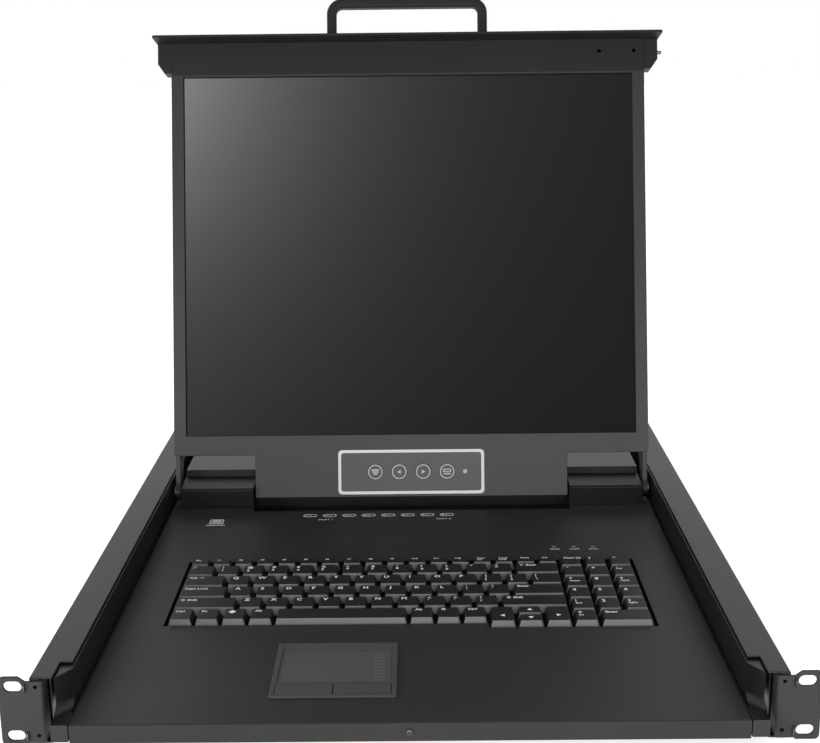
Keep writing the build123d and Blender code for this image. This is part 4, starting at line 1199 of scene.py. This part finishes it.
@dataclass
class Keyboard:
    """Key caps with printed legends over their guide, membrane and back plate."""

    side_taper: float = 1.9 * MM
    front_taper: float = 1.1 * MM
    rear_taper: float = 1.7 * MM
    corner: float = 1.0 * MM
    corner_steps: int = 3
    rim: float = 0.55 * MM
    cap_height: float = 6.2 * MM
    stem_half: float = 2.0 * MM
    letter_size: float = 5.4 * MM
    stack_size: float = 4.4 * MM
    word_size: float = 3.9 * MM
    small_size: float = 2.9 * MM
    letter_bold: float = 0.02
    print_depth: float = 0.06 * MM
    margin: tuple[float, float] = (2.0 * MM, 1.6 * MM)
    stack_gap: float = 1.5 * MM
    short_gap: float = 0.4
    arrow_reach: float = 1.9 * MM
    arrow_drop: float = 0.12
    short_key: float = 13.0 * MM

    def build(self) -> None:
        """Make the caps of every key group and dress what lies under them."""
        for group in LEGENDS:
            self._group(group, LEGENDS[group], solid_boxes(group))
        self._arrows(solid_boxes("arrow_keys"))
        paint(MOULDING, "key_guide", "keyboard_membrane")
        paint(ZINC, "keyboard_backplate")

    def _group(self, group: str, legends: Sequence[str], boxes: Sequence[tuple[Vector, Vector]]) -> None:
        """Make the caps and legends of one group.

        Args:
            group: Name of the CAD node.
            legends: What each key says, from the back row to the front.
            boxes: Corners of each key in the same order.
        """
        shaper = Shaper()
        for legend, (low, high) in zip(legends, boxes, strict=True):
            self._cap(shaper, low, high)
            if legend:
                self._legend(shaper, legend, low, high)
        shaper.piece(f"{group}_caps", group, "keys", group)

    def _cap(self, shaper: Shaper, low: Vector, high: Vector) -> None:
        """Add one tapered cap with a rounded rim, its front faces painted lighter as a painted highlight, and its
        stem.

        Args:
            shaper: Piece that takes the cap.
            low: Lowest corner of the key with its stem.
            high: Highest corner.
        """
        foot = high.z - self.cap_height
        rings = []
        for share, inset, corner in CAP_RINGS:
            extra = inset * self.rim
            ring = rounded_rectangle(
                (low.x + share * self.side_taper + extra, low.y + share * self.front_taper + extra),
                (high.x - share * self.side_taper - extra, high.y - share * self.rear_taper - extra),
                corner * self.corner, self.corner_steps)
            rings.append([Vector((x, y, foot + share * self.cap_height)) for x, y in ring])
        for face in shaper.skin(rings, KEY_TOP):
            face.normal_update()
            # Faces that look to the front take the lighter finish, a painted highlight of the front light.
            if face.normal.y < -0.5:
                face.material_index = shaper.index(KEY_FRONT_HIGHLIGHT)
        middle = (low + high) / 2
        shaper.block((middle.x - self.stem_half, middle.y - self.stem_half, low.z),
                     (middle.x + self.stem_half, middle.y + self.stem_half, foot), KEY_TOP)

    def _legend(self, shaper: Shaper, legend: str, low: Vector, high: Vector) -> None:
        """Print a legend at the upper left of a key, its lines one below the other.

        Args:
            shaper: Piece that takes the print.
            legend: What the key says.
            low: Lowest corner of the key.
            high: Highest corner.
        """
        short = high.y - low.y < self.short_key
        lines = legend.split("\n")
        left = low.x + self.side_taper + self.margin[0]
        top = high.y - self.rear_taper - self.margin[1] * (0.5 if short else 1.0)
        for line in lines:
            if len(line) == 1:
                size = self.stack_size if len(lines) > 1 else self.letter_size
            else:
                size = self.small_size if short or len(lines) > 1 else self.word_size
            mesh = lettering(line, size, self.print_depth, size * self.letter_bold)
            corner, far = box_around([vert.co for vert in mesh.vertices])
            place = Matrix.Translation((left - corner.x, top - far.y, high.z))
            shaper.mesh(mesh, place, KEY_PRINT)
            top -= far.y - corner.y + self.stack_gap * (self.short_gap if short else 1.0)

    def _arrows(self, boxes: Sequence[tuple[Vector, Vector]]) -> None:
        """Make the four arrow keys, each with a solid arrow.

        Args:
            boxes: Corners of each key.
        """
        shaper = Shaper()
        middle_x = sum(low.x + high.x for low, high in boxes) / (2 * len(boxes))
        middle_y = sum(low.y + high.y for low, high in boxes) / (2 * len(boxes))
        for low, high in boxes:
            self._cap(shaper, low, high)
            x, y = (low.x + high.x) / 2, (low.y + high.y) / 2
            if abs(x - middle_x) > self.corner:
                arrow = Arrow.RIGHT if x > middle_x else Arrow.LEFT
                y -= (high.y - low.y) * self.arrow_drop
            else:
                arrow = Arrow.UP if y > middle_y else Arrow.DOWN
            add_arrow(shaper, (x, y), self.arrow_reach, arrow, high.z, self.print_depth, KEY_PRINT)
        shaper.piece("arrow_keys_caps", "arrow_keys", "keys", "arrow_keys")


def add_arrow(shaper: Shaper, centre: tuple[float, float], reach: float, arrow: Arrow, height: float, depth: float,
              finish: Finish) -> None:
    """Print a solid triangular arrow.

    Args:
        shaper: Piece that takes the print.
        centre: Middle of the arrow.
        reach: Distance from the middle to the tip.
        arrow: Direction that it points in.
        height: Height of the surface.
        depth: Thickness of the print.
        finish: Finish of the print.
    """
    turn = math.radians(arrow.value)
    along, across = math.cos(turn), math.sin(turn)
    corners = [(reach, 0.0), (-ARROW_TAIL * reach, reach), (-ARROW_TAIL * reach, -reach)]
    outline = [(centre[0] + x * along - y * across, centre[1] + x * across + y * along) for x, y in corners]
    shaper.prism(outline, height - depth / 2, height + depth / 2, finish)


# Touchpad


@dataclass
class Touchpad:
    """Touchpad frame, pad, scroll marks and click buttons."""

    frame_edge: float = 0.3 * MM
    button_edge: float = 0.5 * MM
    button_steps: int = 3
    pad_edge: float = 0.15 * MM
    mark_count: int = 9
    mark_size: tuple[float, float, float] = (6.4 * MM, 0.9 * MM, 0.1 * MM)
    mark_inset: float = 8.0 * MM
    mark_reach: float = 0.8

    def build(self, grid: GridTree) -> None:
        """Dress the touchpad.

        Args:
            grid: Pattern that sets the scroll marks.
        """
        soften("touchpad_frame", PAD_PLASTIC, "touchpad_plastic", self.frame_edge)
        for side in ("left", "right"):
            soften(f"touchpad_button_{side}", PAD_PLASTIC, "touchpad_plastic", self.button_edge, self.button_steps)
        soften("touchpad_surface", PAD_SURFACE, "touchpad_plastic", self.pad_edge)
        paint(BOARD_GREEN, "touchpad_board")
        self._scroll_marks(grid)

    def _scroll_marks(self, grid: GridTree) -> None:
        """Print a column of short bars along the right of the pad.

        Args:
            grid: Pattern that sets the bars.
        """
        low, high = (Vector(corner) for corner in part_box("touchpad_surface"))
        bar = Shaper()
        half = [size / 2 for size in self.mark_size]
        bar.block((-half[0], -half[1], -half[2]), (half[0], half[1], half[2]), PAD_PRINT)
        reach = (high.y - low.y) * self.mark_reach
        marks = grid.grow(points_mesh([]), bar.plain("mark"), PAD_PRINT, Columns=1, Rows=self.mark_count, Width=0.0,
                          Depth=reach)
        shaper = Shaper()
        shaper.mesh(marks, Matrix.Translation((high.x - self.mark_inset, (low.y + high.y) / 2, high.z)), PAD_PRINT)
        shaper.piece("scroll_marks", "drawer", "touchpad_plastic")


# Hinges


@dataclass
class Hinges:
    """Hinge covers, friction barrels and shafts."""

    edge: float = 0.4 * MM

    def build(self) -> None:
        """Dress the hinges."""
        for side in ("left", "right"):
            soften(f"hinge_cover_{side}", COVER_COAT, "drawer_steel", self.edge)
        paint(ZINC, "hinge_barrels", "hinge_shafts")


# Display


def display_place() -> Matrix:
    """Find the tilted frame of the display, from its hinge axis.

    Returns:
        The frame, its axes pointing across, up the screen and towards the user.
    """
    hinge = next(joint for joint in frame["joints"] if joint["name"] == "display_hinge")
    _, normal = largest_faces("screen_glass", Vector((0, -1, 0)))[0]
    across = Vector((1, 0, 0))
    turn = Matrix((across, normal.cross(across), normal)).transposed().to_4x4()
    return Matrix.Translation(hinge["pos_m"]) @ turn


@dataclass
class Display:
    """Display housing, bezel and screen."""

    edge: float = 0.35 * MM

    def build(self) -> None:
        """Dress the display."""
        soften("display_shell", BEZEL_COAT, "bezel", self.edge)
        soften("display_bezel", BEZEL_COAT, "bezel", self.edge)
        paint(SCREEN_FILM, "screen_glass")
        paint(MOULDING, "panel_module")


@dataclass
class ControlPanel:
    """Overlay with a printed frame, four ringed buttons and a light."""

    place: Matrix
    frame_line: float = 2.4 * MM
    frame_corner: float = 3.4 * MM
    frame_steps: int = 6
    ring_line: float = 0.85 * MM
    print_depth: float = 0.1 * MM
    level: float = 0.02 * MM
    sides: int = 40
    arrow_reach: float = 1.7 * MM
    menu_bars: tuple[tuple[float, float], ...] = ((3.2 * MM, 1.7 * MM), (2.6 * MM, 0.0), (1.6 * MM, -1.7 * MM))
    menu_bar_half: float = 0.55 * MM
    auto_outer: Plate = Plate(3.4 * MM, 0.4 * MM, 2.2 * MM, 0.5 * MM)
    auto_inner: Plate = Plate(2.7 * MM, -0.3 * MM, 1.5 * MM, 0.2 * MM)
    auto_bar: tuple[float, float, float] = (2.8 * MM, -1.9 * MM, 0.5 * MM)

    def build(self) -> None:
        """Dress the panel and its buttons."""
        paint(OVERLAY_FILM, "control_overlay")
        paint(BOARD_GREEN, "control_board")
        paint(LENS, "display_light")
        self._frame()
        marks = {"menu": self._menu_icon, "down": self._down_icon, "up": self._up_icon, "auto": self._auto_icon}
        for name, icon in marks.items():
            self._button(f"{name}_button", icon)

    def _frame(self) -> None:
        """Print the frame line along the edge of the overlay."""
        low, high = local_box("control_overlay", self.place)
        shaper = Shaper(self.place)
        outer = rounded_rectangle(low, high, self.frame_corner, self.frame_steps)
        line = self.frame_line
        inner = rounded_rectangle((low.x + line, low.y + line), (high.x - line, high.y - line),
                                  self.frame_corner - line / 2, self.frame_steps)
        shaper.band(outer, inner, high.z - self.print_depth / 2, high.z + self.print_depth / 2, PANEL_PRINT)
        shaper.piece("overlay_frame_print", "display", "overlay")

    def _button(self, node: str, icon: Callable[[Shaper, Vector, float], None]) -> None:
        """Dress one button and print its ring and its icon.

        Args:
            node: Name of the CAD node.
            icon: Method that prints the icon.
        """
        paint(OVERLAY_FILM, node)
        low, high = local_box(node, self.place)
        centre = (low + high) / 2
        radius = self._face_radius(node)
        shaper = Shaper(self.place)
        shaper.band(circle(centre, radius, self.sides), circle(centre, radius - self.ring_line, self.sides),
                    high.z - self.print_depth / 2, high.z + self.print_depth / 2, RING_PRINT)
        icon(shaper, centre, high.z)
        shaper.piece(f"{node}_print", node, "overlay")

    def _face_radius(self, node: str) -> float:
        """Measure the flat face of a button.

        Args:
            node: Name of the CAD node.

        Returns:
            The radius of the face.
        """
        back = self.place.inverted()
        points = [back @ vert.co for vert in frame["nodes"][node].data.vertices]
        top = max(point.z for point in points)
        low, high = box_around([point for point in points if point.z > top - self.level])
        return (high.x - low.x) / 2

    def _bar(self, shaper: Shaper, centre: Vector, half_x: float, offset: float, half_y: float, height: float) -> None:
        """Print one short bar across a button."""
        y = centre.y + offset
        shaper.block((centre.x - half_x, y - half_y, height - self.print_depth / 2),
                     (centre.x + half_x, y + half_y, height + self.print_depth / 2), RING_PRINT)

    def _menu_icon(self, shaper: Shaper, centre: Vector, height: float) -> None:
        """Print three bars that narrow downwards."""
        for half_x, offset in self.menu_bars:
            self._bar(shaper, centre, half_x, offset, self.menu_bar_half, height)

    def _down_icon(self, shaper: Shaper, centre: Vector, height: float) -> None:
        """Print an arrow to the left."""
        add_arrow(shaper, (centre.x, centre.y), self.arrow_reach, Arrow.LEFT, height, self.print_depth, RING_PRINT)

    def _up_icon(self, shaper: Shaper, centre: Vector, height: float) -> None:
        """Print an arrow to the right."""
        add_arrow(shaper, (centre.x, centre.y), self.arrow_reach, Arrow.RIGHT, height, self.print_depth, RING_PRINT)

    def _auto_icon(self, shaper: Shaper, centre: Vector, height: float) -> None:
        """Print a flat outline over a bar."""
        shaper.band(self.auto_outer.outline(centre.x, centre.y), self.auto_inner.outline(centre.x, centre.y),
                    height - self.print_depth / 2, height + self.print_depth / 2, RING_PRINT)
        self._bar(shaper, centre, *self.auto_bar, height)


@dataclass
class FrontBar:
    """Channel, front plate, end blocks, latch pin and pull handle at the top of the display."""

    edge: float = 0.35 * MM

    def build(self) -> None:
        """Dress the front bar."""
        for node in ("front_bar", "front_plate", "end_blocks"):
            soften(node, BAR_COAT, "bar", self.edge)
        paint(BAR_COAT, "pull_handle")
        paint(PIN_STEEL, "latch_pin")


# Electronics box


@dataclass
class ElectronicsBox:
    """Cover, rear panel, port sockets, power inlet and switch."""

    edge: float = 0.35 * MM
    contact_radius: float = 0.5 * MM
    contact_bore: float = 0.27 * MM
    contact_rows: tuple[int, int] = (5, 3)
    contact_reach: tuple[float, float] = (9.2 * MM, 3.9 * MM)
    insert_inset: float = 0.7 * MM
    insert_sink: float = 0.5 * MM
    tube_share: float = 0.4
    tube_sides: int = 8
    shell_half: tuple[float, float] = (8.2 * MM, 4.2 * MM)
    shell_slant: float = 0.74 * MM
    body_gap: float = 0.05
    widest_post: float = 8 * MM
    post_bore: float = 1.5 * MM
    post_sides: int = 6
    mark_size: float = 4.4 * MM
    print_depth: float = 0.08 * MM

    def build(self, grid: GridTree) -> None:
        """Dress the box.

        Args:
            grid: Pattern that sets the contacts.
        """
        soften("box_cover", RAIL_COAT, "drawer_steel", self.edge)
        soften("rear_panel", RAIL_COAT, "drawer_steel", self.edge)
        paint(BOARD_GREEN, "kvm_board")
        paint(ZINC, "power_supply")
        soften("power_inlet", MOULDING, "inlet_plastic", self.edge)
        soften("power_rocker", MOULDING, "inlet_plastic", self.edge)
        self._sockets(grid)
        self._rocker_marks()

    def _sockets(self, grid: GridTree) -> None:
        """Give each port a hollow shell, an insert with its contacts, and bored posts.

        Args:
            grid: Pattern that sets the contacts.
        """
        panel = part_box("rear_panel")[1][1]
        shaper = Shaper()
        for low, high in solid_boxes("port_sockets"):
            if high.x - low.x < self.widest_post:
                self._post(shaper, low, high)
            else:
                self._socket(shaper, low, high, panel, grid)
        shaper.piece("port_socket_shells", "drawer", "sockets", "port_sockets")

    def _post(self, shaper: Shaper, low: Vector, high: Vector) -> None:
        """Add a bored six-sided post.

        Args:
            shaper: Piece that takes the post.
            low: Lowest corner of the post.
            high: Highest corner.
        """
        centre = (low + high) / 2
        place = Matrix.Translation((centre.x, low.y, centre.z)) @ Euler((-QUARTER_TURN, 0, 0)).to_matrix().to_4x4()
        inner = Shaper(place)
        post_radius = (high.x - low.x) / 2
        inner.band(circle((0, 0), post_radius, self.post_sides), circle((0, 0), self.post_bore, self.post_sides), 0.0,
                   high.y - low.y, ZINC)
        shaper.join(inner)

    def _socket(self, shaper: Shaper, low: Vector, high: Vector, panel: float, grid: GridTree) -> None:
        """Add one port: body on its board, tapered shell, insert and contacts.

        Args:
            shaper: Piece that takes the port.
            low: Lowest corner of the port.
            high: Highest corner.
            panel: Depth of the outside of the rear panel.
            grid: Pattern that sets the contacts.
        """
        centre_x = (low.x + high.x) / 2
        front = panel - (high.y - low.y) * self.body_gap
        body_top = high.z
        shaper.block((low.x, low.y, low.z), (high.x, front, body_top), PORT_PLASTIC)
        shell_z = self._shell_height()
        place = Matrix.Translation((centre_x, panel, shell_z)) @ Euler((-QUARTER_TURN, 0, 0)).to_matrix().to_4x4()
        reach = high.y - panel
        (half_x, half_y), slant = self.shell_half, self.shell_slant
        outer = [(half_x - 2 * slant, -half_y), (half_x, half_y), (-half_x, half_y), (-half_x + 2 * slant, -half_y)]
        wall = self.insert_inset
        inner = [(half_x - 2 * slant - wall, -half_y + wall), (half_x - wall, half_y - wall),
                 (-half_x + wall, half_y - wall), (-half_x + 2 * slant + wall, -half_y + wall)]
        outer, inner = [[(x, -y) for x, y in reversed(outline)] for outline in (outer, inner)]
        part = Shaper(place)
        part.band(outer, inner, 0.0, reach, ZINC)
        part.prism(inner, 0.0, reach - self.insert_sink, PORT_PLASTIC)
        tube = Shaper()
        tube.band(circle((0, 0), self.contact_radius, self.tube_sides),
                  circle((0, 0), self.contact_bore, self.tube_sides), 0.0, self.insert_sink * self.tube_share,
                  BRIGHT_STEEL)
        contacts = grid.grow(points_mesh([]), tube.plain("contact"), BRIGHT_STEEL, Columns=self.contact_rows[0],
                             Rows=self.contact_rows[1], Width=self.contact_reach[0], Depth=self.contact_reach[1])
        part.mesh(contacts, Matrix.Translation((0, 0, reach - self.insert_sink)), BRIGHT_STEEL)
        shaper.join(part)

    def _shell_height(self) -> float:
        """Height of the middle of the port shells."""
        posts = [box for box in solid_boxes("port_sockets") if box[1].x - box[0].x < self.widest_post]
        return (posts[0][0].z + posts[0][1].z) / 2

    def _rocker_marks(self) -> None:
        """Print the on and off marks on the two halves of the rocker."""
        shaper = Shaper()
        faces = largest_faces("power_rocker", Vector((0, 1, 0)), 2)
        for text, (centre, normal) in zip("IO", sorted(faces, key=lambda face: -face[0].z)):
            mesh = lettering(text, self.mark_size, self.print_depth)
            low, high = box_around([vert.co for vert in mesh.vertices])
            across = Vector((-1, 0, 0))
            turn = Matrix((across, normal.cross(across), normal)).transposed().to_4x4()
            shift = Matrix.Translation(-(low + high) / 2)
            shaper.mesh(mesh, Matrix.Translation(centre) @ turn @ shift, PANEL_PRINT)
        shaper.piece("rocker_marks", "power_rocker", "inlet_plastic")


# Studio


@dataclass(frozen=True)
class SoftBox:
    """Square area light: where it hangs, the length of its sides and its power."""

    name: str
    place: Spot
    size: float
    power: float


@dataclass
class Studio:
    """Pale floor, soft lights and the camera, with distances in metres and powers in watts."""

    camera_place: Vector = field(default_factory=lambda: Vector((7.687, -719.12, 392.35)) * MM)
    pitch: float = 0.25552
    yaw: float = -0.00724
    roll: float = 0.01142
    focal_length: float = 59.4507
    sensor_width: float = 36.0
    nearest: float = 0.01
    floor_half: float = 8.0
    above: float = 0.58
    above_span: tuple[float, float] = (0.35, 0.8)
    behind: float = 1.3
    behind_span: tuple[float, float] = (0.0, 0.5)
    beside: float = 0.25
    beside_span: tuple[float, float] = (0.4, 0.8)
    lowest: float = 0.02
    middle: Spot = (0.0, 0.2, 0.0)
    screen_middle: Spot = (0.0, 0.44, 0.3)
    screen_turn: float = math.radians(-26)
    screen_rise: float = math.radians(31)
    screen_reach: float = 2.6
    screen_size: float = 0.55
    screen_power: float = 60.0
    front_box: SoftBox = SoftBox("front_light", (0.3, -2.4, 0.5), 1.4, 30.0)
    left_box: SoftBox = SoftBox("left_light", (-1.8, -1.8, 0.6), 1.0, 28.0)

    def build(self) -> None:
        """Make the floor, the world, the lights and the camera."""
        bpy.context.scene.view_settings.view_transform = "Standard"
        self._floor()
        self._world()
        self._lights()
        self._camera()

    def _floor(self) -> None:
        """Lay a plain pale floor under the object."""
        low, _ = CAD_BOX
        mesh = bpy.data.meshes.new("floor")
        half = self.floor_half
        corners = [(-half, -half, low[2]), (half, -half, low[2]), (half, half, low[2]), (-half, half, low[2])]
        mesh.from_pydata(corners, [], [(0, 1, 2, 3)])
        floor = linked("floor", mesh)
        mesh.materials.append(FLOOR_PAPER.material())

    def _world(self) -> None:
        """Surround the object with white, bright low behind it and dim in front of it."""
        world = bpy.data.worlds.new("studio")
        world.use_nodes = True
        tree = world.node_tree
        background = tree.nodes["Background"]
        background.inputs["Color"].default_value = (1.0, 1.0, 1.0, 1.0)
        place = tree.nodes.new("ShaderNodeTexCoord")
        split = tree.nodes.new("ShaderNodeSeparateXYZ")
        tree.links.new(place.outputs["Generated"], split.inputs["Vector"])
        side = tree.nodes.new("ShaderNodeMath")
        side.operation = "ABSOLUTE"
        tree.links.new(split.outputs["X"], side.inputs[0])
        behind = self._fade(tree, split.outputs["Y"], self.behind_span, (self.lowest, self.behind))
        beside = self._fade(tree, side.outputs[0], self.beside_span, (0.0, self.beside))
        low = tree.nodes.new("ShaderNodeMath")
        tree.links.new(behind, low.inputs[0])
        tree.links.new(beside, low.inputs[1])
        height = self._fade(tree, split.outputs["Z"], self.above_span, (0.0, 1.0))
        whole = self._mix(tree, height, low.outputs[0], self.above)
        seen = tree.nodes.new("ShaderNodeLightPath")
        strength = self._mix(tree, seen.outputs["Is Camera Ray"], whole, 1.0)
        tree.links.new(strength, background.inputs["Strength"])
        bpy.context.scene.world = world

    def _fade(self, tree: bpy.types.NodeTree, value: bpy.types.NodeSocket, span: tuple[float, float],
              ends: tuple[float, float]) -> bpy.types.NodeSocket:
        """Fade smoothly between two strengths over a span of a value.

        Args:
            tree: Node tree of the world.
            value: Socket of the value.
            span: Values between which it fades.
            ends: Strengths at those values.

        Returns:
            Socket of the strength.
        """
        fade = tree.nodes.new("ShaderNodeMapRange")
        fade.interpolation_type = "SMOOTHSTEP"
        fade.inputs["From Min"].default_value, fade.inputs["From Max"].default_value = span
        fade.inputs["To Min"].default_value, fade.inputs["To Max"].default_value = ends
        tree.links.new(value, fade.inputs["Value"])
        return fade.outputs["Result"]

    def _mix(self, tree: bpy.types.NodeTree, share: bpy.types.NodeSocket, first: bpy.types.NodeSocket,
             second: float) -> bpy.types.NodeSocket:
        """Mix a strength with a fixed one.

        Args:
            tree: Node tree of the world.
            share: Socket of the share of the fixed strength.
            first: Socket of the other strength.
            second: The fixed strength.

        Returns:
            Socket of the result.
        """
        mix = tree.nodes.new("ShaderNodeMix")
        mix.inputs["B"].default_value = second
        tree.links.new(share, mix.inputs["Factor"])
        tree.links.new(first, mix.inputs["A"])
        return mix.outputs["Result"]

    def _lights(self) -> None:
        """Hang the soft boxes."""
        screen, middle = Vector(self.screen_middle), Vector(self.middle)
        turn, rise = self.screen_turn, self.screen_rise
        key = Vector((math.sin(turn) * math.cos(rise), -math.cos(turn) * math.cos(rise), math.sin(rise)))
        place = screen + self.screen_reach * key
        glow = self._hang(SoftBox("screen_light", tuple(place), self.screen_size, self.screen_power), screen)
        front = self._hang(self.front_box, middle)
        self._hang(self.left_box, middle)
        self._aim_at_screen(glow, "INCLUDE")
        self._aim_at_screen(front, "EXCLUDE")

    def _aim_at_screen(self, lamp: bpy.types.Object, state: str) -> None:
        """Let a light reach the screen alone, or everything but the screen.

        Args:
            lamp: The light.
            state: INCLUDE or EXCLUDE.
        """
        reach = bpy.data.collections.new(f"{lamp.name}_reach")
        reach.objects.link(frame["nodes"]["screen_glass"])
        reach.collection_objects[0].light_linking.link_state = state
        lamp.light_linking.receiver_collection = reach

    def _hang(self, box: SoftBox, aim: Vector) -> bpy.types.Object:
        """Hang one soft box.

        Args:
            box: The soft box.
            aim: Point that it faces.

        Returns:
            The light.
        """
        light = bpy.data.lights.new(box.name, "AREA")
        light.size = box.size
        light.energy = box.power
        lamp = bpy.data.objects.new(box.name, light)
        bpy.context.scene.collection.objects.link(lamp)
        place = Vector(box.place)
        lamp.matrix_world = Matrix.Translation(place) @ (place - aim).to_track_quat("Z", "Y").to_matrix().to_4x4()
        return lamp

    def _camera(self) -> None:
        """Place the camera in front of the drawer, looking a little down."""
        forward = Vector((math.sin(self.yaw) * math.cos(self.pitch), math.cos(self.yaw) * math.cos(self.pitch),
                          -math.sin(self.pitch)))
        level = Vector((math.cos(self.yaw), -math.sin(self.yaw), 0.0))
        down = forward.cross(level)
        right = level * math.cos(self.roll) + down * math.sin(self.roll)
        low = down * math.cos(self.roll) - level * math.sin(self.roll)
        turn = Matrix((right, -low, -forward)).transposed().to_4x4()
        data = bpy.data.cameras.new("camera")
        data.lens = self.focal_length
        data.sensor_width = self.sensor_width
        data.clip_start = self.nearest
        camera = bpy.data.objects.new("camera", data)
        bpy.context.scene.collection.objects.link(camera)
        camera.matrix_world = Matrix.Translation(self.camera_place) @ turn
        bpy.context.scene.camera = camera


def main() -> None:
    """Build every sub-assembly, then the studio, logging the faces of each piece."""
    logging.basicConfig(level=logging.INFO, format="%(message)s")
    spots = SpotTree("set_on_spots")
    grid = GridTree("set_on_grid")
    Chassis().build(spots)
    Slides().build(spots)
    DrawerTray().build(spots)
    Keyboard().build()
    Touchpad().build(grid)
    Hinges().build()
    Display().build()
    ControlPanel(display_place()).build()
    FrontBar().build()
    ElectronicsBox().build(grid)
    Studio().build()


if __name__ == "__main__":
    main()
